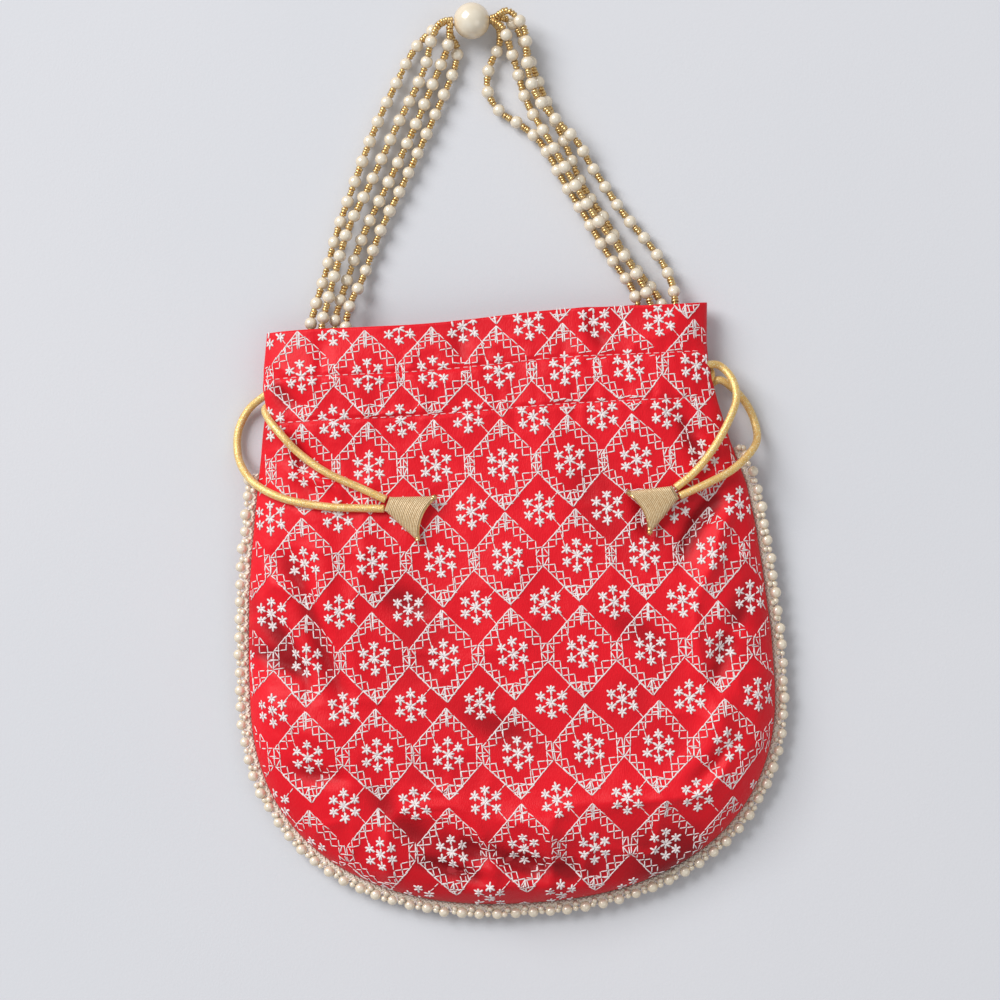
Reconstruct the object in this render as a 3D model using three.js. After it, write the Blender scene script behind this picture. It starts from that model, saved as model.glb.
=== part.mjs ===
// Potli bag, lying on its back. X runs across the bag, Y from its bottom to its mouth and
// handle, and Z up from the table. The origin is the middle of the base. Millimetres.
import * as THREE from "three";
import { mergeVertices } from "three/addons/utils/BufferGeometryUtils.js";

// Cut of the bag
const BAG_LENGTH = 225.5; // top edge to bottom seam
const BELLY_HALF = 101; // half width at the widest place
const NECK_HALF = 84.5; // half width at the channel and the mouth
const BOTTOM_DEPTH = 81.5; // widest place to bottom seam
const BOTTOM_SQUARENESS = 2.3; // exponent of the rounded bottom
const SIDE_EASE = 1.15; // how soon the side swells below the channel
const CORNER_SHARE = 0.76; // share of the bottom where the rows of the cloth end
const ROW_BOW_START = 0.3; // share of the way down where the rows begin to follow the bottom
const ROW_BOW = 1.5; // how suddenly they do
const CLOTH_COLUMNS = 16;
const BODY_ROWS = 9;
const HEM_DEPTH = 18.4; // top edge to the channel's upper stitch
const CHANNEL_WIDTH = 17.6; // upper stitch to lower stitch

// Heights above the table
const BODY_SEAM_Z = 4.6;
const NECK_SEAM_Z = 7.6;
const BELLY_TOP = 21;
const CHANNEL_TOP = 17.6;
const MOUTH_TOP = 15;
const EDGE_FULLNESS = 6; // a larger number rounds only a narrower band at the seam

// Cloth
const OUTER_THICK = 1.0; // satin with its embroidery and backing
const LINING_THICK = 0.6;
const CLOTH_GAP = 0.3;
const STITCH_FLANK = 3; // how far beside a stitch the channel opens fully

// Lace trim in the seam
const TAPE_THICK = 0.8;
const TAPE_TUCK = 0.6; // how far the tape goes into the seam
const TAPE_SHOW = 1.6; // how far it shows outside
const TAPE_TOP_DROP = 56; // top edge to the tape's ends
const SEAM_SPREAD = 1.6 * CLOTH_GAP; // between the tape and the cloth on each side of it
const SEAM_SIDE_STEPS = 12;
const SEAM_BOTTOM_STEPS = 36;
const LACE_PEARL_R = 2.2;
const LACE_SEED_R = 1.1;
const LACE_PITCH = 9.2;
const PEARL_SHOULDER = 0.24; // share of a pearl's length where its round end stops
const TUBE_SHOULDER = 0.08; // the same for a tubular seed
const BEAD_SIDES = 5;
const RING_APART = 0.02; // rings of a bead closer than this are one

// Drawcords
const CORD_R = 1.5;
const CORD_GAP = 0.6; // spare height in the channel
const CORD_STEP = 6.5;
const SLIT_SETBACK = 5.2; // how far the lining stops short of the outer cloth at the slits
const SLIT_HALF_GAP = 2.9; // half height of the side opening at the channel

// Handle
const HANDLE_PEARL_R = 7;
const HANDLE_BORE_R = 1.8;
const STRAND_PEARL_R = 2.45;
const STRAND_SEED_R = 1.25;
const THREAD_R = 0.35;
const STRAND_PITCH = 8.2;
const BARE_STEP = 2; // spacing of the rings on bare thread
const FIRST_BEAD = 3.8; // bare thread between the large pearl and the first bead
const STRAND_FRAMES = 400; // places along a strand where its turn is worked out
const STRAND_ARCS = 1200; // straight pieces its length is added up from
const BORE_STEPS = [-8, -4, 0, 4, 8]; // places of its thread along the bore
const HANDLE_PEARL_RINGS = 10;
const HANDLE_PEARL_SIDES = 16;
const HANDLE_PEARL_AT = new THREE.Vector3(-2.2, 228, HANDLE_PEARL_R);

// Tassel caps
const TASSEL_LENGTH = 15;
const TASSEL_WIDTH = 18.5;
const TASSEL_TIP_WIDTH = 6;
const TASSEL_THICK = 4.6;
const TASSEL_BITE = 3; // how far its open edge curves in
const TASSEL_BEVEL = TASSEL_THICK / 4;
const LEFT_TASSEL = { tip: [-42.6, 45.3, 19.6], turn: -0.42 };
const RIGHT_TASSEL = { tip: [64.2, 43.9, 19.3], turn: Math.PI + 0.45 };

// Anchors of the strands inside the mouth
const ANCHOR_WIDTH = 18.4;
const ANCHOR_DEPTH = 4;
const ANCHOR_DROP = 14.5; // top edge to the anchor's upper face
const ANCHOR_Z_LOW = 4.1;
const ANCHOR_Z_HIGH = 10.4;
const LEFT_ANCHOR_X = -63.2;
const RIGHT_ANCHOR_X = 62.8;

const PEARL_REACH = TAPE_SHOW + CLOTH_GAP + 2 * LACE_PEARL_R;
const TOP_Y = (BAG_LENGTH + PEARL_REACH) / 2;
const BOTTOM_Y = TOP_Y - BAG_LENGTH;
const WIDEST_Y = BOTTOM_Y + BOTTOM_DEPTH;
const STITCH_TOP_Y = TOP_Y - HEM_DEPTH;
const STITCH_LOW_Y = STITCH_TOP_Y - CHANNEL_WIDTH;
const CHANNEL_Y = (STITCH_TOP_Y + STITCH_LOW_Y) / 2;
const TAPE_TOP_Y = TOP_Y - TAPE_TOP_DROP;
const CORNER_Y = WIDEST_Y - CORNER_SHARE * BOTTOM_DEPTH;

const bag = new THREE.Group();

function add(name, geometry, color, roughness, metalness) {
  const material = new THREE.MeshStandardMaterial({ color, roughness, metalness });
  const mesh = new THREE.Mesh(geometry, material);
  mesh.name = name;
  bag.add(mesh);
  return mesh;
}

function smooth(from, to, value) {
  const t = THREE.MathUtils.clamp((value - from) / (to - from), 0, 1);
  return t * t * (3 - 2 * t);
}

// Half width of the bag at a height, above its widest place
function sideHalf(y) {
  const t = THREE.MathUtils.clamp((CHANNEL_Y - y) / (CHANNEL_Y - WIDEST_Y), 0, 1);
  return NECK_HALF + (BELLY_HALF - NECK_HALF) * Math.sin((Math.PI / 2) * t) ** SIDE_EASE;
}

// Half width anywhere, with the rounded bottom
function halfWidth(y) {
  if (y >= WIDEST_Y) return sideHalf(y);
  const drop = Math.min(1, (WIDEST_Y - y) / BOTTOM_DEPTH);
  return BELLY_HALF * (1 - drop ** BOTTOM_SQUARENESS) ** (1 / BOTTOM_SQUARENESS);
}

// The bottom seam under a place across the bag
function bottomAt(x) {
  const out = Math.min(1, Math.abs(x) / BELLY_HALF);
  return WIDEST_Y - BOTTOM_DEPTH * (1 - out ** BOTTOM_SQUARENESS) ** (1 / BOTTOM_SQUARENESS);
}

// 0 on the bag's middle line and 1 on its seam
function seamShare(x, y) {
  if (y >= WIDEST_Y) return Math.abs(x) / sideHalf(y);
  const n = BOTTOM_SQUARENESS;
  return ((Math.abs(x) / BELLY_HALF) ** n + ((WIDEST_Y - y) / BOTTOM_DEPTH) ** n) ** (1 / n);
}

// Half of the space between the two rims: closed at the hem, open at the slit, then the tape's
function rimGap(y) {
  const closed = CLOTH_GAP / 2;
  const tape = TAPE_THICK / 2 + SEAM_SPREAD;
  const slitTop = smooth(STITCH_TOP_Y + STITCH_FLANK, STITCH_TOP_Y - STITCH_FLANK, y);
  const slitEnd = smooth(STITCH_LOW_Y - STITCH_FLANK, STITCH_LOW_Y - 5 * STITCH_FLANK, y);
  return closed + (SLIT_HALF_GAP - closed) * slitTop - (SLIT_HALF_GAP - tape) * slitEnd;
}

function frontTop(y) {
  const neck = smooth(WIDEST_Y, CHANNEL_Y, y);
  const mouth = smooth(CHANNEL_Y, TOP_Y, y);
  return BELLY_TOP + (CHANNEL_TOP - BELLY_TOP) * neck + (MOUTH_TOP - CHANNEL_TOP) * mouth;
}

// Height of the seam, which rises from the body to the neck
function seamZ(y) {
  return BODY_SEAM_Z + (NECK_SEAM_Z - BODY_SEAM_Z) * smooth(WIDEST_Y, STITCH_LOW_Y, y);
}

// Outer face of the front (side 1) or the back (side -1)
function faceZ(side, x, y) {
  const share = Math.min(1, seamShare(x, y));
  const swell = Math.sqrt(1 - share ** EDGE_FULLNESS);
  const rim = seamZ(y) + side * rimGap(y);
  const crown = side > 0 ? frontTop(y) : 0;
  return rim + (crown - rim) * swell;
}

function outwardNormal(side, x, y) {
  const share = seamShare(x, y);
  const inside = share > 0.985 ? 0.985 / share : 1;
  const px = x * inside;
  const py = y > WIDEST_Y ? y : WIDEST_Y + (y - WIDEST_Y) * inside;
  const step = 0.05;
  const slopeX = (faceZ(side, px + step, py) - faceZ(side, px - step, py)) / (2 * step);
  const slopeY = (faceZ(side, px, py + step) - faceZ(side, px, py - step)) / (2 * step);
  return new THREE.Vector3(-side * slopeX, -side * slopeY, side).normalize();
}

// Rows of the cloth, from the mouth to the bottom: the channel's own, then the body's
function rowPlaces() {
  const rows = [TOP_Y, (TOP_Y + STITCH_TOP_Y) / 2, STITCH_TOP_Y, STITCH_TOP_Y - STITCH_FLANK];
  rows.push(CHANNEL_Y, STITCH_LOW_Y + STITCH_FLANK, STITCH_LOW_Y);
  const slitFoot = STITCH_LOW_Y - 3 * STITCH_FLANK;
  rows.push(slitFoot);
  for (let i = 1; i <= BODY_ROWS; i++) {
    const t = i / BODY_ROWS;
    const share = (t + Math.sin((Math.PI / 2) * t)) / 2;
    rows.push(slitFoot + (CORNER_Y - slitFoot) * share);
  }
  return rows;
}

// Place on the bag's plan for a column from -1 to 1 and a row
function planPoint(column, rowY) {
  const across = Math.sin((Math.PI / 2) * column);
  const down = (TOP_Y - rowY) / (TOP_Y - CORNER_Y);
  const bow = THREE.MathUtils.clamp((down - ROW_BOW_START) / (1 - ROW_BOW_START), 0, 1) ** ROW_BOW;
  const x = across * halfWidth(rowY);
  const cornerX = across * halfWidth(CORNER_Y);
  return new THREE.Vector2(x, rowY + bow * (bottomAt(cornerX) - CORNER_Y));
}

// 1 between the two stitches of the channel, where the cords run, and 0 outside them
function channelShare(y) {
  const up = smooth(STITCH_LOW_Y, STITCH_LOW_Y + STITCH_FLANK, y);
  const down = smooth(STITCH_TOP_Y, STITCH_TOP_Y - STITCH_FLANK, y);
  return up * down;
}

// A cloth panel between two depths under the outer face, each given by a function of y
function panel(side, outerDepth, innerDepth, isLining) {
  const rows = rowPlaces();
  const box = new THREE.BoxGeometry(2, 1, 1, CLOTH_COLUMNS, rows.length - 1, 1);
  box.deleteAttribute("normal");
  box.deleteAttribute("uv");
  const place = box.getAttribute("position");
  for (let i = 0; i < place.count; i++) {
    const column = place.getX(i);
    const row = Math.round((0.5 - place.getY(i)) * (rows.length - 1));
    const onTopFace = place.getZ(i) > 0;
    const plan = planPoint(column, rows[row]);
    if (isLining) plan.x *= 1 - (SLIT_SETBACK / NECK_HALF) * channelShare(plan.y);
    const depthOf = onTopFace === side > 0 ? outerDepth : innerDepth;
    const depth = depthOf(plan.y);
    const normal = outwardNormal(side, plan.x, plan.y);
    const onSeam = Math.abs(column) > 0.999 || row === rows.length - 1;
    if (onSeam) normal.setZ(0).normalize();
    const z = faceZ(side, plan.x, plan.y) - normal.z * depth;
    const limit = seamZ(plan.y) + side * (isLining ? CLOTH_GAP / 2 : rimGap(plan.y));
    const beyond = (z - limit) * side < 0 || (isLining && onSeam);
    place.setXYZ(i, plan.x - normal.x * depth, plan.y - normal.y * depth, beyond ? limit : z);
  }
  return mergeVertices(box, 1e-3);
}

const outerOut = () => 0;
const outerIn = () => OUTER_THICK;
const cordRoom = 2 * CORD_R + CORD_GAP;
const liningOut = (y) => OUTER_THICK + CLOTH_GAP + cordRoom * channelShare(y);
const liningIn = (y) => liningOut(y) + LINING_THICK;

function makeCloth() {
  add("outer_front", panel(1, outerOut, outerIn, false), 0xd8182c, 0.45, 0);
  add("outer_back", panel(-1, outerOut, outerIn, false), 0xc8162a, 0.45, 0);
  add("lining_front", panel(1, liningOut, liningIn, true), 0xb01c2c, 0.7, 0);
  add("lining_back", panel(-1, liningOut, liningIn, true), 0xa81828, 0.7, 0);
}

// Seam line from the left end of the tape, round the bottom, to the right end
function seamLine(outset) {
  const points = [];
  for (let i = 0; i < SEAM_SIDE_STEPS; i++) {
    const y = TAPE_TOP_Y + ((WIDEST_Y - TAPE_TOP_Y) * i) / SEAM_SIDE_STEPS;
    points.push(new THREE.Vector2(-sideHalf(y), y));
  }
  for (let i = 0; i <= SEAM_BOTTOM_STEPS; i++) {
    const turn = Math.PI + (Math.PI * i) / SEAM_BOTTOM_STEPS;
    const power = 2 / BOTTOM_SQUARENESS;
    const x = BELLY_HALF * Math.sign(Math.cos(turn)) * Math.abs(Math.cos(turn)) ** power;
    const y = WIDEST_Y - BOTTOM_DEPTH * Math.abs(Math.sin(turn)) ** power;
    points.push(new THREE.Vector2(x, y));
  }
  for (let i = SEAM_SIDE_STEPS - 1; i >= 0; i--) {
    const y = TAPE_TOP_Y + ((WIDEST_Y - TAPE_TOP_Y) * i) / SEAM_SIDE_STEPS;
    points.push(new THREE.Vector2(sideHalf(y), y));
  }
  return points.map((point, i) => {
    const before = points[Math.max(0, i - 1)];
    const after = points[Math.min(points.length - 1, i + 1)];
    const along = after.clone().sub(before).normalize();
    return new THREE.Vector2(point.x + along.y * outset, point.y - along.x * outset);
  });
}

function makeTape() {
  const outer = seamLine(TAPE_SHOW);
  const inner = seamLine(-TAPE_TUCK);
  const strip = new THREE.Shape(outer.concat(inner.reverse()));
  const options = { depth: TAPE_THICK, bevelEnabled: false, steps: 1 };
  const geometry = new THREE.ExtrudeGeometry(strip, options);
  const place = geometry.getAttribute("position");
  for (let i = 0; i < place.count; i++) {
    place.setZ(i, place.getZ(i) - TAPE_THICK / 2 + seamZ(place.getY(i)));
  }
  add("lace_tape", geometry, 0xefe3d0, 0.8, 0);
}

// Profile of beads strung on a thread of a length: each bead has a start, a length and a radius
function beadProfile(length, beads) {
  const profile = [new THREE.Vector2(0, 0), new THREE.Vector2(THREAD_R, 0)];
  for (const bead of beads) {
    const shoulder = bead.long * bead.shoulder;
    const bareFrom = profile[profile.length - 1].y;
    const bareRings = Math.floor((bead.at - bareFrom) / BARE_STEP);
    for (let i = 1; i < bareRings; i++) {
      profile.push(new THREE.Vector2(THREAD_R, bareFrom + (i / bareRings) * (bead.at - bareFrom)));
    }
    profile.push(new THREE.Vector2(THREAD_R, bead.at));
    profile.push(new THREE.Vector2(bead.r, bead.at + shoulder));
    profile.push(new THREE.Vector2(bead.r, bead.at + bead.long - shoulder));
    profile.push(new THREE.Vector2(THREAD_R, bead.at + bead.long));
  }
  profile.push(new THREE.Vector2(THREAD_R, length), new THREE.Vector2(0, length));
  const apart = (point, i) => i === 0 || point.distanceTo(profile[i - 1]) > RING_APART;
  return profile.filter(apart);
}

// A straight string of beads, bent to follow a curve
function bentString(curve, profile) {
  const length = profile[profile.length - 1].y;
  const geometry = new THREE.LatheGeometry(profile, BEAD_SIDES);
  geometry.deleteAttribute("normal");
  geometry.deleteAttribute("uv");
  const frames = curve.computeFrenetFrames(STRAND_FRAMES, false);
  const place = geometry.getAttribute("position");
  for (let i = 0; i < place.count; i++) {
    const along = THREE.MathUtils.clamp(place.getY(i) / length, 0, 1);
    const k = Math.round(along * STRAND_FRAMES);
    const point = curve.getPointAt(along);
    point.addScaledVector(frames.normals[k], place.getX(i));
    point.addScaledVector(frames.binormals[k], -place.getZ(i));
    place.setXYZ(i, point.x, point.y, point.z);
  }
  return mergeVertices(geometry, 1e-3);
}

function makeLacePearls() {
  const line = seamLine(TAPE_SHOW + CLOTH_GAP + LACE_PEARL_R);
  const curve = new THREE.CatmullRomCurve3(line.map((p) => new THREE.Vector3(p.x, p.y, seamZ(p.y))));
  const length = curve.getLength();
  const count = Math.floor(length / LACE_PITCH);
  const pitch = length / count;
  const beads = [];
  for (let i = 0; i < count; i++) {
    const pearl = 2 * LACE_PEARL_R;
    const at = i * pitch;
    beads.push({ at, long: pearl, r: LACE_PEARL_R, shoulder: PEARL_SHOULDER });
    beads.push({ at: at + pearl, long: pitch - pearl, r: LACE_SEED_R, shoulder: 0.5 });
  }
  add("lace_pearls", bentString(curve, beadProfile(length, beads)), 0xf3ead6, 0.3, 0);
}

// The right cord's way through the channel: in at the front, round the far side, out at the back
const CHANNEL_RUN = [
  [85.2, 91.6, 7.9], [81, 92.2, 10.2], [76, 92.4, 12.4], [66, 92.5, 13.5], [40, 92.5, 14.4],
  [0, 92.5, 14.5], [-40, 92.5, 14.4], [-66, 92.5, 13.5], [-76, 92.5, 12.4], [-80.4, 91.6, 10.5],
  [-82, 88.8, 7.8], [-80.4, 86, 5.4], [-76, 84.9, 4.5], [-66, 84.9, 3.5], [-40, 84.9, 2.85],
  [0, 84.9, 2.8], [40, 84.9, 2.85], [66, 84.9, 3.5], [77, 84.9, 4.6], [82, 85.2, 6.3],
  [85, 86.2, 7.3],
];
const RIGHT_FRONT_LEG = [
  [65.2, 45.9, 20.2], [72.4, 51.2, 19.4], [80.4, 60, 17.6], [87.4, 71, 15.2], [90.6, 79, 12.6],
  [89.4, 86.6, 9.6],
];
const RIGHT_BACK_LEG = [
  [90.6, 82.3, 5.2], [95.6, 76, 2.6], [98.2, 69, 2.6], [98.2, 62.8, 6.6], [94.8, 57.8, 12.2],
  [87.2, 51.6, 16.2], [77, 46.8, 18.9], [66.6, 42.8, 20.1],
];
const LEFT_FRONT_LEG = [
  [-43.8, 47.2, 20.8], [-52.7, 51.8, 20.4], [-65.8, 58.6, 19.6], [-76, 66.6, 18.2],
  [-82.8, 74.4, 17.2], [-87.2, 80.4, 13.4], [-88.3, 84.2, 9.8],
];
const LEFT_BACK_LEG = [
  [-89.2, 89, 5.8], [-95.6, 84.2, 2.6], [-99.8, 76.6, 2.2], [-100.4, 68, 3.2],
  [-97.8, 61, 8.6], [-92.4, 55, 14.6], [-82.4, 49.6, 18.2], [-66.8, 45.8, 19.9],
  [-44.6, 43.8, 20.8],
];

// The left cord crosses the channel as the right one does, turned end for end
const leftRun = CHANNEL_RUN.map(([x, y, z]) => [-x, 2 * CHANNEL_Y - y, z]);

function makeCord(name, route) {
  const curve = new THREE.CatmullRomCurve3(route.map((p) => new THREE.Vector3(...p)));
  const section = new THREE.Shape();
  section.absarc(0, 0, CORD_R, 0, 2 * Math.PI);
  const steps = Math.round(curve.getLength() / CORD_STEP);
  const options = { steps, extrudePath: curve, curveSegments: 4, bevelEnabled: false };
  add(name, new THREE.ExtrudeGeometry(section, options), 0xd9b45a, 0.4, 0.3);
}

// Strands of the handle: anchor, the left run, the large pearl's bore, the right run, anchor
const STRANDS = [
  {
    bore: [0.6, -0.6],
    left: [
      [-70.2, 101.8, 6.1], [-69.9, 114.5, 6.1], [-67.4, 123, 4.6], [-63.6, 134, 2.9],
      [-57.8, 151, 2.7], [-51.5, 166.5, 2.7], [-40.9, 190.6, 2.7], [-32.6, 205.9, 2.7],
      [-24.5, 219.2, 2.7], [-19, 224.4, 3.4], [-13.5, 228, 5.2],
    ],
    right: [
      [11.5, 228.3, 4.2], [16.6, 221.5, 2.9], [19.2, 213, 2.7], [21.8, 205, 2.7],
      [24.8, 196, 2.7], [28.2, 187.6, 2.7], [31.2, 179.5, 2.7], [36.4, 164.6, 2.7],
      [45, 149.5, 2.7], [52.4, 135, 2.7], [58.5, 126.5, 3.2], [62.6, 120.5, 4.8],
      [64.9, 114.5, 6.1], [65.2, 101.8, 6.2],
    ],
  },
  {
    bore: [0.6, 0.6],
    left: [
      [-65.5, 101.8, 9.2], [-65.3, 114.5, 9.1], [-62.9, 123, 8], [-59.5, 134, 6.9],
      [-53.5, 151, 6.4], [-44.9, 167.3, 3.4], [-32.7, 190.6, 2.7], [-24.4, 205, 2.9],
      [-20.5, 213, 4.6], [-18, 221, 8.2], [-14.4, 227, 9.8],
    ],
    right: [
      [11.8, 230.6, 9.4], [17.6, 223.4, 8.3], [18, 212.5, 7.9], [19.2, 203, 7.7],
      [23.4, 194, 7.8], [29.6, 186.5, 8.1], [36, 179.3, 6.2], [40, 172, 2.9],
      [43, 166.9, 2.7], [51.6, 152.6, 2.7], [62, 138.6, 2.7], [67, 130, 3.4],
      [69.3, 122, 6.4], [69.6, 114.5, 8.9], [69.8, 101.8, 8.9],
    ],
  },
  {
    bore: [-0.6, 0.6],
    left: [
      [-60.9, 101.8, 6.1], [-60.7, 114.5, 6.1], [-58.4, 123, 4.6], [-54.3, 134, 2.9],
      [-47, 151, 2.7], [-38.2, 167, 2.7], [-25.5, 190.6, 2.7], [-19, 204.1, 2.7],
      [-15.4, 211.5, 3.4], [-12.4, 217.4, 5.2], [-10.9, 222.8, 8],
    ],
    right: [
      [9.6, 224, 9.6], [12, 216.5, 6.2], [14.2, 209, 3.1], [16.2, 200, 2.7],
      [19.2, 192, 3.6], [23.2, 184, 7.6], [27.6, 175.6, 7.7], [32, 166.9, 7.5],
      [40.2, 152, 7.5], [49, 138.5, 7.6], [55.2, 128.5, 8.2], [58.7, 121, 8.8],
      [60.4, 114.5, 9.1], [60.6, 101.8, 9.2],
    ],
  },
  {
    bore: [-0.6, -0.6],
    left: [
      [-56.3, 101.8, 9.2], [-56.1, 114.5, 9.1], [-53.9, 123, 7.8], [-51, 128.5, 5.2],
      [-48.4, 134, 2.9], [-41, 151, 2.7], [-32.1, 167, 2.7], [-19.6, 190.6, 2.7],
      [-13, 203.8, 2.7], [-9.4, 212, 2.7], [-8.4, 218.6, 2.8], [-10.6, 223.8, 4.2],
    ],
    right: [
      [8.2, 223.6, 4.4], [7.6, 218.2, 2.9], [3.6, 210.8, 2.7], [2.6, 201, 2.7],
      [7, 193.3, 2.7], [14, 188.3, 2.7], [20.3, 182.6, 2.7], [25.2, 175, 2.7],
      [29.2, 166.5, 2.7], [37.3, 151.8, 2.7], [45, 137, 2.7], [51.3, 127.5, 3.2],
      [54.6, 120.5, 4.9], [55.8, 114.5, 6.1], [56, 101.8, 6.2],
    ],
  },
];

// Beads of a strand, counted out from the large pearl to each end; every other strand
// starts half a pitch later, so that neighbours nest pearl beside seed
function strandBeads(length, boreAt, late) {
  const beads = [];
  const pearl = 2 * STRAND_PEARL_R;
  const seed = STRAND_PITCH - pearl;
  for (const way of [-1, 1]) {
    const room = way < 0 ? boreAt : length - boreAt;
    let out = HANDLE_PEARL_R + FIRST_BEAD + (late ? STRAND_PITCH / 2 : 0);
    while (out + STRAND_PITCH < room) {
      const seedAt = way < 0 ? boreAt - out - seed : boreAt + out;
      const pearlOut = out + seed;
      const pearlAt = way < 0 ? boreAt - pearlOut - pearl : boreAt + pearlOut;
      beads.push({ at: seedAt, long: seed, r: STRAND_SEED_R, shoulder: TUBE_SHOULDER });
      beads.push({ at: pearlAt, long: pearl, r: STRAND_PEARL_R, shoulder: PEARL_SHOULDER });
      out += STRAND_PITCH;
    }
  }
  return beads.sort((a, b) => a.at - b.at);
}

function makeStrand(number, { bore, left, right }) {
  const inBore = BORE_STEPS.map((dx) => [
    HANDLE_PEARL_AT.x + dx, HANDLE_PEARL_AT.y + bore[0], HANDLE_PEARL_AT.z + bore[1],
  ]);
  const route = [...left, ...inBore, ...right].map((p) => new THREE.Vector3(...p));
  const curve = new THREE.CatmullRomCurve3(route, false, "centripetal");
  curve.arcLengthDivisions = STRAND_ARCS;
  const length = curve.getLength();
  const middle = route[left.length + BORE_STEPS.indexOf(0)];
  let boreAt = 0;
  for (let i = 0; i <= STRAND_ARCS; i++) {
    const near = curve.getPointAt(i / STRAND_ARCS).distanceTo(middle);
    const best = curve.getPointAt(boreAt / length).distanceTo(middle);
    if (near < best) boreAt = (length * i) / STRAND_ARCS;
  }
  const beads = strandBeads(length, boreAt, number % 2 === 0);
  add(`strand_${number}`, bentString(curve, beadProfile(length, beads)), 0xeadfc4, 0.3, 0.2);
}

function makeHandlePearl() {
  const profile = [];
  const start = Math.asin(HANDLE_BORE_R / HANDLE_PEARL_R);
  for (let i = 0; i <= HANDLE_PEARL_RINGS; i++) {
    const turn = start + ((Math.PI - 2 * start) * i) / HANDLE_PEARL_RINGS;
    const r = HANDLE_PEARL_R * Math.sin(turn);
    profile.push(new THREE.Vector2(r, -HANDLE_PEARL_R * Math.cos(turn)));
  }
  profile.push(profile[0].clone());
  const geometry = new THREE.LatheGeometry(profile, HANDLE_PEARL_SIDES);
  const mesh = add("handle_pearl", geometry, 0xf6efe0, 0.2, 0);
  mesh.rotation.z = Math.PI / 2;
  mesh.position.copy(HANDLE_PEARL_AT);
}

// A flat folded cap of ribbon, with its tip at the cord ends
function makeTassel(name, { tip, turn }) {
  const shape = new THREE.Shape();
  shape.moveTo(0, -TASSEL_TIP_WIDTH / 2);
  shape.lineTo(TASSEL_LENGTH, -TASSEL_WIDTH / 2);
  shape.quadraticCurveTo(TASSEL_LENGTH - TASSEL_BITE, 0, TASSEL_LENGTH, TASSEL_WIDTH / 2);
  shape.lineTo(0, TASSEL_TIP_WIDTH / 2);
  shape.closePath();
  const geometry = new THREE.ExtrudeGeometry(shape, {
    depth: TASSEL_THICK - 2 * TASSEL_BEVEL, bevelSize: TASSEL_BEVEL, bevelThickness: TASSEL_BEVEL,
    bevelOffset: -TASSEL_BEVEL, bevelSegments: 1, curveSegments: 6,
  });
  geometry.translate(0, 0, TASSEL_BEVEL);
  const mesh = add(name, geometry, 0xc9a860, 0.45, 0.4);
  mesh.position.set(...tip);
  mesh.rotation.z = turn;
}

function makeAnchor(name, middleX) {
  const height = ANCHOR_Z_HIGH - ANCHOR_Z_LOW;
  const geometry = new THREE.BoxGeometry(ANCHOR_WIDTH, ANCHOR_DEPTH, height);
  const mesh = add(name, geometry, 0xf0e6d2, 0.8, 0);
  mesh.position.set(middleX, TOP_Y - ANCHOR_DROP - ANCHOR_DEPTH / 2, ANCHOR_Z_LOW + height / 2);
}

makeCloth();
makeTape();
makeLacePearls();
makeCord("drawcord_left", [...LEFT_FRONT_LEG, ...leftRun, ...LEFT_BACK_LEG]);
makeCord("drawcord_right", [...RIGHT_FRONT_LEG, ...CHANNEL_RUN, ...RIGHT_BACK_LEG]);
makeTassel("tassel_left", LEFT_TASSEL);
makeTassel("tassel_right", RIGHT_TASSEL);
makeHandlePearl();
STRANDS.forEach((strand, i) => makeStrand(i + 1, strand));
makeAnchor("handle_anchor_left", LEFT_ANCHOR_X);
makeAnchor("handle_anchor_right", RIGHT_ANCHOR_X);

export default bag;
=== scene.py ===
"""Potli bag of red embroidered satin, lying on a white cloth and seen from above.

Lengths are in millimetres in the part's own frame, and MM turns them into metres."""

import math

import bpy
import numpy as np
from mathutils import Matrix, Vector

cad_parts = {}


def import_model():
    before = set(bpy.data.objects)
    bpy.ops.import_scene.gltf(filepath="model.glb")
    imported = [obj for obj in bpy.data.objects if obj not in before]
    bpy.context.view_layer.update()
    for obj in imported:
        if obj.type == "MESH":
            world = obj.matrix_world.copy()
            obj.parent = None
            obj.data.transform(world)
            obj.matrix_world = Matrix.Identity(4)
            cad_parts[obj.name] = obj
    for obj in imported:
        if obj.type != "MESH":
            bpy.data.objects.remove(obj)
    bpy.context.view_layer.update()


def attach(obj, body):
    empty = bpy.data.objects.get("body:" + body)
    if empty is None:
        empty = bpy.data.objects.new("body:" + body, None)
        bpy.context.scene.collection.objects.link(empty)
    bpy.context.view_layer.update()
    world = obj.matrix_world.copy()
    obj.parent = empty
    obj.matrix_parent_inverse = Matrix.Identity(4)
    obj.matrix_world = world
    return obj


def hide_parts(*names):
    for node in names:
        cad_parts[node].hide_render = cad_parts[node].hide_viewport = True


MM = 0.001

# The bag's cut and heights, and its cords and pearls, the same as the part's
BAG_LENGTH = 225.5
BELLY_HALF = 101
NECK_HALF = 84.5
BOTTOM_DEPTH = 81.5
SQUARENESS = 2.3
SIDE_EASE = 1.15
TOP_Y = 115.9
BOTTOM_Y = TOP_Y - BAG_LENGTH
WIDEST_Y = BOTTOM_Y + BOTTOM_DEPTH
STITCH_TOP_Y = TOP_Y - 18.4
STITCH_LOW_Y = STITCH_TOP_Y - 17.6
CHANNEL_Y = (STITCH_TOP_Y + STITCH_LOW_Y) / 2
TAPE_TOP_Y = TOP_Y - 56
BODY_SEAM_Z = 4.6
NECK_SEAM_Z = 7.6
BELLY_TOP = 21
CHANNEL_TOP = 17.6
MOUTH_TOP = 15
FULLNESS = 6
OUTER_THICK = 0.8
CORD_ROOM = 3.6
CORD_R = 1.5
LACE_PEARL_R = 2.2
STRAND_PEARL_R = 2.45
HANDLE_PEARL = np.array([-2.2, 228, 7])
HANDLE_PEARL_R = 7
HANDLE_BORE_R = 1.8

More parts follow.
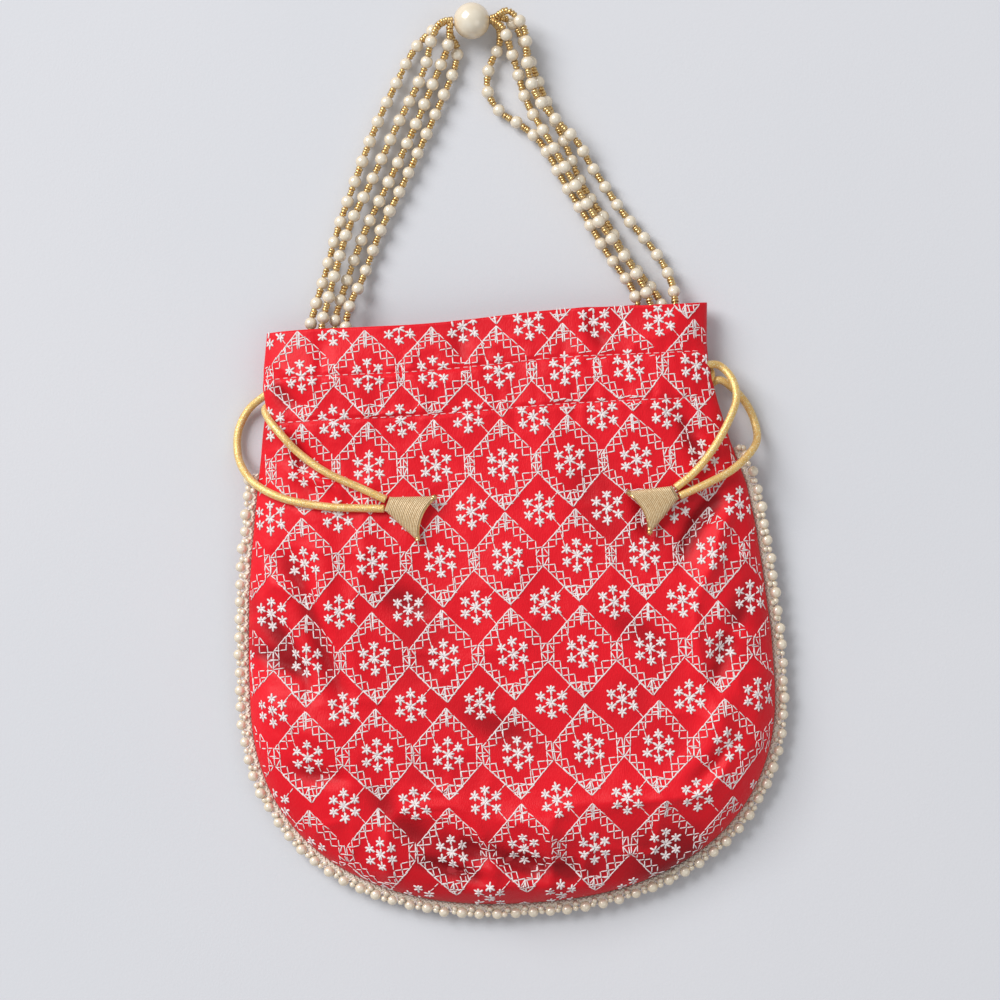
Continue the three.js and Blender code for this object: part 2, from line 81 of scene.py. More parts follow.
# Places along the cords, the strands and the seam, and the beads' steps along a strand
CORD_STEP = 0.55
STRAND_PLACES = 900
SEAM_SIDE_STEPS = 40
SEAM_BOTTOM_STEPS = 110
SEAM_PLACES = 500
PEARL_PITCH = 8.2
SEED_STEP = 1.1
SEED_SIZE = (1.12, 2.7, 2.7)
FIRST_SEED = 7.7
SEED_RUN = 3.8
THREAD_R = 0.35
TAPE_IN = -0.4
TAPE_OUT = 2.7
LACE_OUT = 3.7
LACE_PITCH = 6.7
BORE_THREAD_R = 0.86

# Where the edges of the red cloth lie in the photo: (y, left x, right x)
EDGES = [
    (116, -86.4, 81.8), (102, -88.4, 80.9), (94, -88.8, 80.8), (86, -88, 82), (78, -89.4, 83.6),
    (62, -91.8, 88), (46, -94.2, 93.2), (30, -96.6, 95.9), (14, -98.5, 97.6), (-10, -100, 99.8),
    (-28, -100.4, 100.2), (-60, -100.4, 100.4), (-110, -100.4, 101),
]

FOLD_DEPTH = 1.9

# Soft folds of the front: where each starts and ends, its half width and its height
FOLDS = [
    ((-84, 30), (-60, -34), 4.5, -2.2), ((-92, 8), (-74, -30), 3.5, -1.6),
    ((-72, 42), (-66, -2), 5, 1.2), ((-58, -60), (-34, -84), 6, -1.6),
    ((-26, -84), (22, -98), 4.6, -3.0), ((-8, -74), (30, -84), 6, 2.4), ((-40, -90), (-10, -99), 3, -2.4),
    ((80, 44), (66, 18), 3.2, -2.4), ((88, 40), (74, 10), 3.5, 2),
    ((92, 12), (76, -34), 4, -1.8), ((84, -30), (60, -70), 6, 1.2),
    ((-78, 76), (-70, 52), 3.5, -1.6), ((70, 78), (76, 52), 3.2, -1.8),
    ((-30, 62), (-44, 20), 9, 0.8), ((30, 70), (40, 24), 9, -0.8), ((0, 30), (14, -40), 12, 0.9),
    ((-96, 26), (-80, 12), 3, 1.6), ((-97, -8), (-78, -16), 3.4, -2), ((-96, -26), (-72, -44), 4, 1.8),
    ((-88, -52), (-62, -58), 3.4, -1.8), ((66, -66), (84, -50), 3, -1.6), ((96, -14), (80, -8), 3, 1.4),
    ((-50, 16), (-30, 2), 5, -1.1), ((40, -2), (62, -18), 5, -1.1), ((-20, -34), (6, -46), 6, -1.2),
    ((48, 44), (58, 26), 3.5, -1.2), ((-84, 100), (-72, 86), 3.4, -1.8), ((-80, 62), (-58, 50), 3, 1.3),
    ((-66, 112), (-60, 98), 3, -1.1), ((-14, 113), (-10, 99), 3.4, -0.9), ((38, 113), (42, 99), 3, -1),
]


def smooth(start, end, value):
    t = np.clip((value - start) / (end - start), 0, 1)
    return t * t * (3 - 2 * t)


def side_half(y):
    t = np.clip((CHANNEL_Y - y) / (CHANNEL_Y - WIDEST_Y), 0, 1)
    return NECK_HALF + (BELLY_HALF - NECK_HALF) * np.sin(np.pi / 2 * t) ** SIDE_EASE


def half_width(y):
    drop = np.clip((WIDEST_Y - y) / BOTTOM_DEPTH, 0, 1)
    low = BELLY_HALF * (1 - drop**SQUARENESS) ** (1 / SQUARENESS)
    return np.where(y >= WIDEST_Y, side_half(y), low)


def bottom_at(x):
    out = np.clip(np.abs(x) / BELLY_HALF, 0, 1)
    return WIDEST_Y - BOTTOM_DEPTH * (1 - out**SQUARENESS) ** (1 / SQUARENESS)


def seam_share(x, y):
    high = np.abs(x) / side_half(y)
    drop = np.clip((WIDEST_Y - y) / BOTTOM_DEPTH, 0, None)
    low = ((np.abs(x) / BELLY_HALF) ** SQUARENESS + drop**SQUARENESS) ** (1 / SQUARENESS)
    return np.where(y >= WIDEST_Y, high, low)


def rim_gap(y):
    slit_top = smooth(STITCH_TOP_Y + 3, STITCH_TOP_Y - 3, y)
    slit_end = smooth(STITCH_LOW_Y - 3, STITCH_LOW_Y - 15, y)
    return 0.15 + 2.75 * slit_top - 2.02 * slit_end


def front_top(y):
    neck = smooth(WIDEST_Y, CHANNEL_Y, y)
    mouth = smooth(CHANNEL_Y, TOP_Y, y)
    return BELLY_TOP + (CHANNEL_TOP - BELLY_TOP) * neck + (MOUTH_TOP - CHANNEL_TOP) * mouth


def seam_z(y):
    return BODY_SEAM_Z + (NECK_SEAM_Z - BODY_SEAM_Z) * smooth(WIDEST_Y, STITCH_LOW_Y, y)


def channel_share(y):
    up = smooth(STITCH_LOW_Y, STITCH_LOW_Y + 3, y)
    return up * smooth(STITCH_TOP_Y, STITCH_TOP_Y - 3, y)


def fold_height(x, y):
    """Soft folds of the front, each deepest along its own line."""
    total = np.zeros(np.broadcast(x, y).shape)
    for (ax, ay), (bx, by), half, height in FOLDS:
        dx, dy = bx - ax, by - ay
        t = np.clip(((x - ax) * dx + (y - ay) * dy) / (dx * dx + dy * dy), 0, 1)
        sway = 0.35 * half * np.sin(5 * t + ax)
        off = np.hypot(x - ax - t * dx + sway, y - ay - t * dy)
        taper = np.sin(np.pi * np.clip(t * 0.9 + 0.05, 0, 1)) ** 0.7
        total += FOLD_DEPTH * height * taper * np.exp(-((off / half) ** 2))
    return total


def puckers(x, y):
    """Small gathers beside the two stitch lines of the channel."""
    total = np.zeros(np.broadcast(x, y).shape)
    for line, reach, sign in ((STITCH_TOP_Y, 6, 1), (STITCH_LOW_Y, 9, -1)):
        off = y - line
        groove = -0.5 * np.exp(-((off / 1.1) ** 2))
        wave = np.sin(0.62 * x + 1.6 * np.sin(0.21 * x + sign) + 0.1 * sign * off)
        wave += 0.6 * np.sin(1.13 * x + 2.2 * np.sin(0.13 * x + 2 * sign))
        total += groove + 0.3 * wave * np.exp(-((off / reach) ** 2)) * smooth(0, 2, np.abs(off))
    return total


def patchwork(x, y, size, seed):
    """Smooth random heights from 0 to 1, about one size apart."""
    gx, gy = x / size, y / size
    ix, iy = np.floor(gx), np.floor(gy)
    fx, fy = gx - ix, gy - iy
    ux, uy = fx**3 * (fx * (6 * fx - 15) + 10), fy**3 * (fy * (6 * fy - 15) + 10)

    def corner(i, j):
        value = np.sin(i * 127.1 + j * 311.7 + seed * 74.7) * 43758.5453
        return value - np.floor(value)

    low = corner(ix, iy) * (1 - ux) + corner(ix + 1, iy) * ux
    high = corner(ix, iy + 1) * (1 - ux) + corner(ix + 1, iy + 1) * ux
    return low * (1 - uy) + high * uy


def crumple(x, y):
    """Crushed creases of the thin satin, stronger towards its edges and its bottom."""
    bent_x = x + 9 * patchwork(x, y, 31, 3)
    bent_y = y + 9 * patchwork(x, y, 27, 4)
    wide = 1 - np.abs(2 * patchwork(bent_x, bent_y * 0.7, 30, 1) - 1)
    fine = 1 - np.abs(2 * patchwork(bent_x * 0.8, bent_y, 13, 2) - 1)
    where = 0.35 + 0.65 * np.clip(seam_share(x, y), 0, 1) ** 2
    low = smooth(-30, -95, y)
    return (where + 0.5 * low) * (2.6 * wide**4 - 2.0 * (1 - wide) ** 3 + 1.25 * fine**3)


def undulation(x, y):
    slow = np.sin(0.061 * x + 0.043 * y + 1.3) * np.sin(0.052 * y - 0.031 * x + 0.4)
    quick = np.sin(0.17 * x - 0.09 * y) * np.sin(0.13 * y + 0.07 * x + 2)
    return 0.55 * slow + 0.22 * quick


def painted_fold_shade(x, y):
    """Share of painted shade: 1 in the deepest valleys of the cloth, 0 on its flats and ridges, a little
    towards its foot.
    """
    valley = smooth(0.6, -3.4, fold_height(x, y) + crumple(x, y) + undulation(x, y))
    return np.clip(valley + 0.3 * smooth(-62, -106, y), 0, 1)


def face_z(side, x, y):
    """Height of the outer face of the front (side 1) or the back (side -1)."""
    share = np.clip(seam_share(x, y), 0, 1)
    swell = np.sqrt(np.clip(1 - share**FULLNESS, 0, 1))
    rim = seam_z(y) + side * rim_gap(y)
    crown = front_top(y) if side > 0 else 0
    z = rim + (crown - rim) * swell
    soft = swell * smooth(1, 0.9, share)
    if side > 0:
        return z + soft * (fold_height(x, y) + puckers(x, y) + undulation(x, y) + crumple(x, y))
    return z + soft * 0.3 * np.clip(puckers(x, y) + 1, 0, 0.9)


def face_normal(side, x, y):
    step = 0.2
    share = np.maximum(seam_share(x, y), 1e-6)
    inside = np.minimum(1, 0.985 / share)
    px, py = x * inside, np.where(y > WIDEST_Y, y, WIDEST_Y + (y - WIDEST_Y) * inside)
    slope_x = (face_z(side, px + step, py) - face_z(side, px - step, py)) / (2 * step)
    slope_y = (face_z(side, px, py + step) - face_z(side, px, py - step)) / (2 * step)
    n = np.stack([-side * slope_x, -side * slope_y, np.full_like(slope_x, side)], axis=-1)
    return n / np.linalg.norm(n, axis=-1, keepdims=True)


def lay_out(points):
    """Moves places of the plain cut to where the cloth's edges lie in the photo."""
    x, y = points[..., 0], points[..., 1]
    rows = np.array(EDGES)[::-1]
    left = np.interp(y, rows[:, 0], rows[:, 1])
    right = np.interp(y, rows[:, 0], rows[:, 2])
    plain = side_half(np.maximum(y, WIDEST_Y))
    share = x / plain
    moved = points.copy()
    moved[..., 0] = x + np.where(share < 0, (left + plain) * -share, (right - plain) * share)
    slope = smooth(40, TOP_Y, y)
    moved[..., 1] = y + slope * (-1.6 + 2.2 * share + 0.7 * np.sin(0.06 * x))
    return moved


def make_mesh(name, points, faces, material, shade=True):
    mesh = bpy.data.meshes.new(name)
    mesh.from_pydata((np.asarray(points) * MM).tolist(), [], [list(map(int, f)) for f in faces])
    mesh.materials.append(material)
    mesh.validate()
    if shade:
        mesh.shade_smooth()
    piece = bpy.data.objects.new(name, mesh)
    bpy.context.scene.collection.objects.link(piece)
    return piece


def grid_faces(rows, columns, start, turned):
    faces = []
    for r in range(rows - 1):
        for c in range(columns - 1):
            a = start + r * columns + c
            face = (a, a + 1, a + columns + 1, a + columns)
            faces.append(face[::-1] if turned else face)
    return faces


def shell_faces(rows, columns, turned=True):
    """Faces of a thin shell: a grid of places, a second grid behind it, and the rim."""
    count = rows * columns
    faces = grid_faces(rows, columns, 0, turned) + grid_faces(rows, columns, count, not turned)
    ring = list(range(columns)) + [r * columns + columns - 1 for r in range(1, rows)]
    ring += [(rows - 1) * columns + c for c in range(columns - 2, -1, -1)]
    ring += [r * columns for r in range(rows - 2, 0, -1)]
    for a, b in zip(ring, ring[1:] + ring[:1]):
        face = (a, b, b + count, a + count)
        faces.append(face if turned else face[::-1])
    return faces


def sleeve_faces(rings, sides, closed=False):
    """Faces between rings of places, with a flat face at each end or joined into a loop."""
    faces = []
    for r in range(rings if closed else rings - 1):
        n = (r + 1) % rings
        for k in range(sides):
            j = (k + 1) % sides
            faces.append((r * sides + k, r * sides + j, n * sides + j, n * sides + k))
    if not closed:
        faces.append(tuple(range(sides))[::-1])
        faces.append(tuple((rings - 1) * sides + k for k in range(sides)))
    return faces


def lay_uvs(piece, uvs):
    layer = piece.data.uv_layers.new(name="UVMap")
    corner = np.zeros(len(piece.data.loops), int)
    piece.data.loops.foreach_get("vertex_index", corner)
    layer.data.foreach_set("uv", np.array(uvs)[corner].ravel())


def settle(piece, node=None):
    """Puts a piece on the bag's one body and in its node's place."""
    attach(piece, "root")
    if node:
        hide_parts(node)


CORNER_SHARE = 0.76
CORNER_Y = WIDEST_Y - CORNER_SHARE * BOTTOM_DEPTH
LINING_SETBACK = 5.2
LINING_RIM = 0.15


def cloth_rows(count):
    """Rows from the mouth down, closer together at the channel's stitches."""
    y = np.linspace(TOP_Y, CORNER_Y, count * 4)
    near = np.exp(-(((y - STITCH_TOP_Y) / 4) ** 2)) + np.exp(-(((y - STITCH_LOW_Y) / 4) ** 2))
    weight = np.cumsum(1 + 2.5 * near)
    even = np.linspace(weight[0], weight[-1], count)
    return np.interp(even, weight, y)


def cloth_plan(rows, columns):
    """Places of the cloth on the plan, as an array of rows by columns."""
    row_y = cloth_rows(rows)[:, None]
    column = np.linspace(-1, 1, columns)[None, :]
    across = np.sin(np.pi / 2 * column)
    down = (TOP_Y - row_y) / (TOP_Y - CORNER_Y)
    bow = np.clip((down - 0.3) / 0.7, 0, 1) ** 1.5
    x = across * half_width(row_y)
    y = row_y + bow * (bottom_at(across * half_width(np.array(CORNER_Y))) - CORNER_Y)
    return x, y


def cloth_panel(name, side, depths, lining, counts, material):
    """A cloth between two depths under the outer face: both faces and a closed rim."""
    rows, columns = counts
    x, y = cloth_plan(rows, columns)
    if lining:
        x = x * (1 - LINING_SETBACK / NECK_HALF * channel_share(y))
    normal = face_normal(side, x, y)
    edge = np.zeros(x.shape, bool)
    edge[:, 0] = edge[:, -1] = edge[-1, :] = True
    normal[edge, 2] = 0
    normal /= np.linalg.norm(normal, axis=-1, keepdims=True)
    layers = []
    for depth in depths:
        deep = depth(y)[..., None] if callable(depth) else depth
        place = np.stack([x, y, face_z(side, x, y)], axis=-1) - normal * deep
        limit = seam_z(y) + side * (LINING_RIM if lining else rim_gap(y))
        beyond = (place[..., 2] - limit) * side < 0
        place[..., 2] = np.where(beyond | (edge & lining), limit, place[..., 2])
        layers.append(lay_out(place).reshape(-1, 3))
    faces = shell_faces(rows, columns, side > 0)
    cloth = make_mesh(name, np.concatenate(layers), faces, material)
    # Painted shade for the satin's colour: darker in the front's fold valleys and towards its foot, none
    # on the back.
    shade = cloth.data.attributes.new("painted_fold_shade", "FLOAT", "POINT").data
    painted_shade_values = painted_fold_shade(x, y) if side > 0 else np.zeros(x.shape)
    shade.foreach_set("value", np.tile(painted_shade_values.ravel(), 2))
    return cloth


# Finishes


def new_material(name, base, roughness, metallic=0.0, sheen=0.0, coat=0.0):
    material = bpy.data.materials.new(name)
    material.use_nodes = True
    tree = material.node_tree
    shader = tree.nodes["Principled BSDF"]
    shader.inputs["Base Color"].default_value = (*base, 1)
    shader.inputs["Roughness"].default_value = roughness
    shader.inputs["Metallic"].default_value = metallic
    shader.inputs["Sheen Weight"].default_value = sheen
    shader.inputs["Coat Weight"].default_value = coat
    return material, tree, shader


def add_node(tree, kind, links=(), **settings):
    """A node with its settings, and its inputs by name: a value or another node's output."""
    node = tree.nodes.new(kind)
    for key, value in settings.items():
        setattr(node, key, value)
    for key, value in dict(links).items():
        socket = node.inputs[key]
        if isinstance(value, bpy.types.NodeSocket):
            tree.links.new(value, socket)
        else:
            socket.default_value = value
    return node


def blended(tree, share, low, high):
    """A mix of two colours, each given as red, green and blue or as another node's output."""
    colours = [c if isinstance(c, bpy.types.NodeSocket) else (*c, 1) for c in (low, high)]
    mix = add_node(tree, "ShaderNodeMix", {0: share, 6: colours[0], 7: colours[1]},
                   data_type="RGBA")
    return mix.outputs[2]


def speckle(tree, place, scale, detail=2.0):
    noise = add_node(tree, "ShaderNodeTexNoise", {
        "Vector": place, "Scale": scale, "Detail": detail})
    return noise.outputs["Fac"]


def mottled(tree, shader, dark, light, scale, detail=4.0):
    """Colour that drifts slowly between two tones: the place, the colour and its noise."""
    place = add_node(tree, "ShaderNodeTexCoord").outputs["Object"]
    noise = speckle(tree, place, float(scale), detail)
    tone = blended(tree, noise, dark, light)
    tree.links.new(tone, shader.inputs["Base Color"])
    return place, tone, noise


def bump(tree, shader, height, strength, distance):
    relief = add_node(tree, "ShaderNodeBump", {
        "Height": height, "Strength": strength, "Distance": distance})
    tree.links.new(relief.outputs["Normal"], shader.inputs["Normal"])


def satin_material():
    """Red satin: a fine diagonal weave, with painted shade in its valleys, uneven in colour and shine;
    its slow darker blotches partly stand in for soft shade.
    """
    material, tree, shader = new_material("red satin", (0.84, 0.008, 0.022), 0.46, 0, 0.02)
    shader.inputs["Sheen Tint"].default_value = (1, 0.35, 0.4, 1)
    shader.inputs["Sheen Roughness"].default_value = 0.35
    shader.inputs["Specular IOR Level"].default_value = 0.26
    # Slow random blotches between two reds, which partly stand in as painted soft shade.
    place, tone = mottled(tree, shader, (0.70, 0.003, 0.012), (0.88, 0.006, 0.020), 22)[:2]
    # Painted shade: the colour darkens to deep red where the cloth's fold valleys are.
    low = add_node(tree, "ShaderNodeAttribute", attribute_name="painted_fold_shade")
    deep = blended(tree, low.outputs["Fac"], tone, (0.30, 0.001, 0.006))
    tree.links.new(deep, shader.inputs["Base Color"])
    turn = add_node(tree, "ShaderNodeMapping", {
        "Vector": place, "Rotation": (0, 0, 0.5), "Scale": (1, 0.25, 1)})
    weave = speckle(tree, turn.outputs["Vector"], 2600.0)
    crush = speckle(tree, place, 130.0, 5.0)
    both = add_node(tree, "ShaderNodeMath", {0: weave, 1: 0.35, 2: crush},
                    operation="MULTIPLY_ADD")
    bump(tree, shader, both.outputs[0], 0.5, 0.0010)
    shine = add_node(tree, "ShaderNodeMapRange", {"Value": weave, "To Min": 0.40, "To Max": 0.56})
    tree.links.new(shine.outputs["Result"], shader.inputs["Roughness"])
    return material


def lining_material():
    material, tree, shader = new_material("red lining", (0.42, 0.012, 0.02), 0.75)
    noise = mottled(tree, shader, (0.36, 0.01, 0.018), (0.46, 0.014, 0.024), 60)[2]
    bump(tree, shader, noise, 0.2, 0.0005)
    return material


def thread_material():
    """White embroidery thread with a faint painted pink, standing in for light bounced from the red cloth
    around it.
    """
    material, tree, shader = new_material("white thread", (0.86, 0.74, 0.73), 0.5, 0, 0.2)
    # Painted bounce light: both tones of the thread are tinted pink.
    place = mottled(tree, shader, (0.90, 0.76, 0.76), (0.97, 0.93, 0.92), 900)[0]
    twist = add_node(tree, "ShaderNodeTexWave", {
        "Vector": place, "Scale": 900.0, "Distortion": 2.0})
    bump(tree, shader, twist.outputs["Fac"], 0.4, 0.0002)
    return material


def seam_thread_material():
    return new_material("pink seam thread", (0.93, 0.58, 0.60), 0.55)[0]


def pearl_material():
    """Coated pearl: ivory, with painted warm shade towards its edge, with a clear coat and small flaws in
    it.
    """
    dark, light, painted_edge_shade = (0.82, 0.71, 0.53), (0.95, 0.89, 0.77), (0.68, 0.50, 0.29)
    material, tree, shader = new_material("ivory pearl", light, 0.2, 0.12, 0, 0.9)
    shader.inputs["Coat Roughness"].default_value = 0.1
    shader.inputs["Specular IOR Level"].default_value = 0.6
    tone, noise = mottled(tree, shader, dark, light, 260, 3.0)[1:]
    # Painted shade: the colour turns warm tan where the surface faces away from the view.
    rim = add_node(tree, "ShaderNodeLayerWeight", {"Blend": 0.35})
    edge = blended(tree, rim.outputs["Facing"], tone, painted_edge_shade)
    tree.links.new(edge, shader.inputs["Base Color"])
    bump(tree, shader, noise, 0.1, 0.0004)
    return material


def gold_seed_material():
    material, tree, shader = new_material("gold seed", (0.78, 0.52, 0.20), 0.28, 1.0)
    mottled(tree, shader, (0.62, 0.36, 0.12), (0.92, 0.72, 0.36), 700)
    return material


def gold_cord_material():
    """Smooth satin cord with metal thread in it: its colour drifts at random between warm and pale gold,
    with scattered painted glints.
    """
    material, tree, shader = new_material("gold cord", (0.8, 0.5, 0.14), 0.34, 0.4, 0.08)
    shader.inputs["Sheen Tint"].default_value = (1, 0.85, 0.45, 1)
    place, tone = mottled(tree, shader, (0.72, 0.36, 0.07), (0.98, 0.74, 0.28), 160)[:2]
    # Painted glints: pale gold spots in the colour where fine noise is high.
    grain = speckle(tree, place, 2200.0)
    glint_spots = add_node(tree, "ShaderNodeMapRange", {
        "Value": grain, "From Min": 0.54, "From Max": 0.66})
    painted_glints = blended(tree, glint_spots.outputs["Result"], tone, (1.0, 0.90, 0.60))
    tree.links.new(painted_glints, shader.inputs["Base Color"])
    bump(tree, shader, grain, 0.6, 0.0004)
    return material


def ribbon_material():
    """Metal ribbon with close ribs across it, with painted shade between them."""
    material, tree, shader = new_material("gold ribbon", (0.80, 0.58, 0.32), 0.36, 0.12)
    place = add_node(tree, "ShaderNodeTexCoord")
    ribs = add_node(tree, "ShaderNodeTexWave", {
        "Vector": place.outputs["UV"], "Scale": 6.4, "Distortion": 0.5, "Detail Scale": 3.0},
        bands_direction="Y").outputs["Fac"]
    fine = speckle(tree, place.outputs["Object"], 1300.0)
    both = add_node(tree, "ShaderNodeMath", {0: ribs, 1: fine}, operation="MULTIPLY")
    shade = add_node(tree, "ShaderNodeMapRange", {
        "Value": both.outputs[0], "From Min": 0.05, "From Max": 0.55})
    # Painted shade: the colour darkens between the ribs, broken up by fine noise.
    tone = blended(tree, shade.outputs["Result"], (0.54, 0.33, 0.14), (0.96, 0.78, 0.50))
    tree.links.new(tone, shader.inputs["Base Color"])
    bump(tree, shader, ribs, 0.6, 0.0004)
    return material


def braid_material():
    """Cream braided tape, each plait catching the light."""
    material, tree, shader = new_material("cream braid", (0.80, 0.70, 0.56), 0.75, 0, 0.2)
    noise = mottled(tree, shader, (0.80, 0.70, 0.56), (0.95, 0.90, 0.80), 500)[2]
    bump(tree, shader, noise, 0.5, 0.0005)
    return material


def floor_material():
    """White cloth of the table, with the faintest unevenness."""
    material, tree, shader = new_material("white cloth", (0.66, 0.67, 0.71), 0.9)
    place = mottled(tree, shader, (0.67, 0.69, 0.735), (0.735, 0.735, 0.77), 4.5)[0]
    bump(tree, shader, speckle(tree, place, 1400.0), 0.15, 0.0004)
    return material


# Shapes that repeat


def repeat_tree():
    """Lays one shape at every place, turned and sized as the place says, a little uneven."""
    tree = bpy.data.node_groups.new("Lay a shape at every place", "GeometryNodeTree")
    sockets = [
        ("Places", "INPUT", "NodeSocketGeometry"), ("Shape", "INPUT", "NodeSocketObject"),
        ("Material", "INPUT", "NodeSocketMaterial"), ("Unevenness", "INPUT", "NodeSocketFloat"),
        ("Seed", "INPUT", "NodeSocketInt"), ("Result", "OUTPUT", "NodeSocketGeometry"),
    ]
    for name, way, kind in sockets:
        tree.interface.new_socket(name=name, in_out=way, socket_type=kind)
    given = tree.nodes.new("NodeGroupInput")
    made = tree.nodes.new("NodeGroupOutput")
    shape = add_node(tree, "GeometryNodeObjectInfo", {"Object": given.outputs["Shape"]})
    turn = add_node(tree, "GeometryNodeInputNamedAttribute", {"Name": "turn"},
                    data_type="FLOAT_VECTOR")
    size = add_node(tree, "GeometryNodeInputNamedAttribute", {"Name": "size"},
                    data_type="FLOAT_VECTOR")
    rotation = add_node(tree, "FunctionNodeEulerToRotation", {"Euler": turn.outputs["Attribute"]})
    low = add_node(tree, "ShaderNodeMath", {0: 1.0, 1: given.outputs["Unevenness"]},
                   operation="SUBTRACT")
    high = add_node(tree, "ShaderNodeMath", {0: 1.0, 1: given.outputs["Unevenness"]},
                    operation="ADD")
    chance = add_node(tree, "FunctionNodeRandomValue", data_type="FLOAT")
    tree.links.new(low.outputs[0], chance.inputs[2])
    tree.links.new(high.outputs[0], chance.inputs[3])
    tree.links.new(given.outputs["Seed"], chance.inputs["Seed"])
    scale = add_node(tree, "ShaderNodeVectorMath", operation="SCALE")
    tree.links.new(size.outputs["Attribute"], scale.inputs[0])
    tree.links.new(chance.outputs[1], scale.inputs["Scale"])
    laid = add_node(tree, "GeometryNodeInstanceOnPoints", {
        "Points": given.outputs["Places"], "Instance": shape.outputs["Geometry"],
        "Rotation": rotation.outputs["Rotation"], "Scale": scale.outputs["Vector"]})
    real = add_node(tree, "GeometryNodeRealizeInstances", {"Geometry": laid.outputs["Instances"]})
    coloured = add_node(tree, "GeometryNodeSetMaterial", {
        "Geometry": real.outputs["Geometry"], "Material": given.outputs["Material"]})
    tree.links.new(coloured.outputs["Geometry"], made.inputs["Result"])
    return tree


def euler_of(along, normal):
    """Turns whose X follows along and whose Z is nearest to normal."""
    x = along / np.linalg.norm(along, axis=-1, keepdims=True)
    y = np.cross(normal, x)
    y /= np.linalg.norm(y, axis=-1, keepdims=True)
    z = np.cross(x, y)
    return np.stack([np.arctan2(y[:, 2], z[:, 2]), -np.arcsin(np.clip(x[:, 2], -1, 1)),
                     np.arctan2(x[:, 1], x[:, 0])], axis=-1)


def repeated(name, tree, shape, places, turns, sizes, material, uneven=0.0, seed=1):
    """A plain mesh of the shape at every place, in millimetres; one size can serve them all."""
    sizes = np.broadcast_to(sizes, np.shape(places))
    mesh = bpy.data.meshes.new(name + " places")
    mesh.from_pydata((np.asarray(places) * MM).tolist(), [], [])
    for key, values in (("turn", turns), ("size", np.asarray(sizes) * MM)):
        data = mesh.attributes.new(key, "FLOAT_VECTOR", "POINT").data
        data.foreach_set("vector", np.asarray(values, float).ravel())
    holder = bpy.data.objects.new(name + " places", mesh)
    bpy.context.scene.collection.objects.link(holder)
    modifier = holder.modifiers.new("lay", "NODES")
    modifier.node_group = tree
    given = {"Shape": shape, "Material": material, "Unevenness": uneven, "Seed": seed}
    for item in tree.interface.items_tree:
        if item.name in given:
            modifier[item.identifier] = given[item.name]
    bpy.context.view_layer.update()
    seen = holder.evaluated_get(bpy.context.evaluated_depsgraph_get())
    result = bpy.data.meshes.new_from_object(seen)
    result.name = name
    result.shade_smooth()
    holder.modifiers.clear()
    bpy.data.objects.remove(holder)
    piece = bpy.data.objects.new(name, result)
    bpy.context.scene.collection.objects.link(piece)
    return piece


def turned_shape(name, profile, sides, material):
    """A shape turned about X from (x, radius) pairs, with a point at each end of radius 0."""
    points, rings = [], []
    for x, r in profile:
        if r == 0:
            rings.append([len(points)])
            points.append((x, 0, 0))
            continue
        rings.append(list(range(len(points), len(points) + sides)))
        for k in range(sides):
            turn = 2 * math.pi * k / sides
            points.append((x, r * math.cos(turn), r * math.sin(turn)))
    faces = []
    for a, b in zip(rings, rings[1:]):
        for k in range(sides):
            j = (k + 1) % sides
            if len(a) == 1:
                faces.append((a[0], b[j], b[k]))
            elif len(b) == 1:
                faces.append((a[k], a[j], b[0]))
            else:
                faces.append((a[k], a[j], b[j], b[k]))
    piece = make_mesh(name, np.array(points) / MM, faces, material)
    return piece


def join(name, pieces):
    """One piece from several, with all their materials."""
    first = pieces[0]
    with bpy.context.temp_override(active_object=first, object=first, selected_objects=pieces,
                                   selected_editable_objects=pieces):
        bpy.ops.object.join()
    first.name = name
    first.data.name = name
    return first


# Lines that cords and strings follow


def curve_through(route, each=24):
    """Close places along the smooth curve that the part's cords follow."""
    points = [np.array(p, float) for p in route]
    points = [2 * points[0] - points[1], *points, 2 * points[-1] - points[-2]]
    line = []
    for p0, p1, p2, p3 in zip(points, points[1:], points[2:], points[3:]):
        d0, d1, d2 = (max(np.linalg.norm(b - a) ** 0.5, 1e-4)
                      for a, b in ((p0, p1), (p1, p2), (p2, p3)))
        m1 = ((p1 - p0) / d0 - (p2 - p0) / (d0 + d1) + (p2 - p1) / d1) * d1
        m2 = ((p2 - p1) / d1 - (p3 - p1) / (d1 + d2) + (p3 - p2) / d2) * d1
        for k in range(each):
            t = k / each
            line.append((2 * t**3 - 3 * t**2 + 1) * p1 + (t**3 - 2 * t**2 + t) * m1
                        + (-2 * t**3 + 3 * t**2) * p2 + (t**3 - t**2) * m2)
    line.append(points[-2])
    return np.array(line)


def length_along(line):
    return np.concatenate([[0], np.cumsum(np.linalg.norm(np.diff(line, axis=0), axis=1))])


def at_length(line, where):
    along = length_along(line)
    return np.stack([np.interp(where, along, line[:, k]) for k in range(3)], axis=-1)


def directions(line):
    way = np.gradient(line, axis=0)
    return way / np.maximum(np.linalg.norm(way, axis=1, keepdims=True), 1e-9)


def carried_frames(line):
    """Side vectors carried along a line without twisting."""
    way = directions(line)
    side = np.cross(way[0], (0, 0, 1.0))
    sides = []
    for w in way:
        side = side - w * side.dot(w)
        side = side / np.linalg.norm(side)
        sides.append(side)
    sides = np.array(sides)
    return way, sides, np.cross(way, sides)


def tube(name, line, radius, sides, material):
    """A closed tube along a line."""
    across, up = carried_frames(line)[1:]
    along = length_along(line)
    radii = np.broadcast_to(radius, len(line))
    points, uvs = [], []
    for k, centre in enumerate(line):
        turn = 2 * np.pi * np.arange(sides) / sides
        out = np.cos(turn)[:, None] * across[k] + np.sin(turn)[:, None] * up[k]
        points.extend(centre + radii[k] * out)
        uvs.extend((t / (2 * np.pi), along[k] / (2 * np.pi * radii[k])) for t in turn)
    piece = make_mesh(name, points, sleeve_faces(len(line), sides), material)
    lay_uvs(piece, uvs)
    return piece


def frames_at(line, where):
    """Places along a line, with the line's direction and its carried side vectors there."""
    index = np.clip(np.searchsorted(length_along(line), where), 0, len(line) - 1)
    return at_length(line, where), *(vectors[index] for vectors in carried_frames(line))


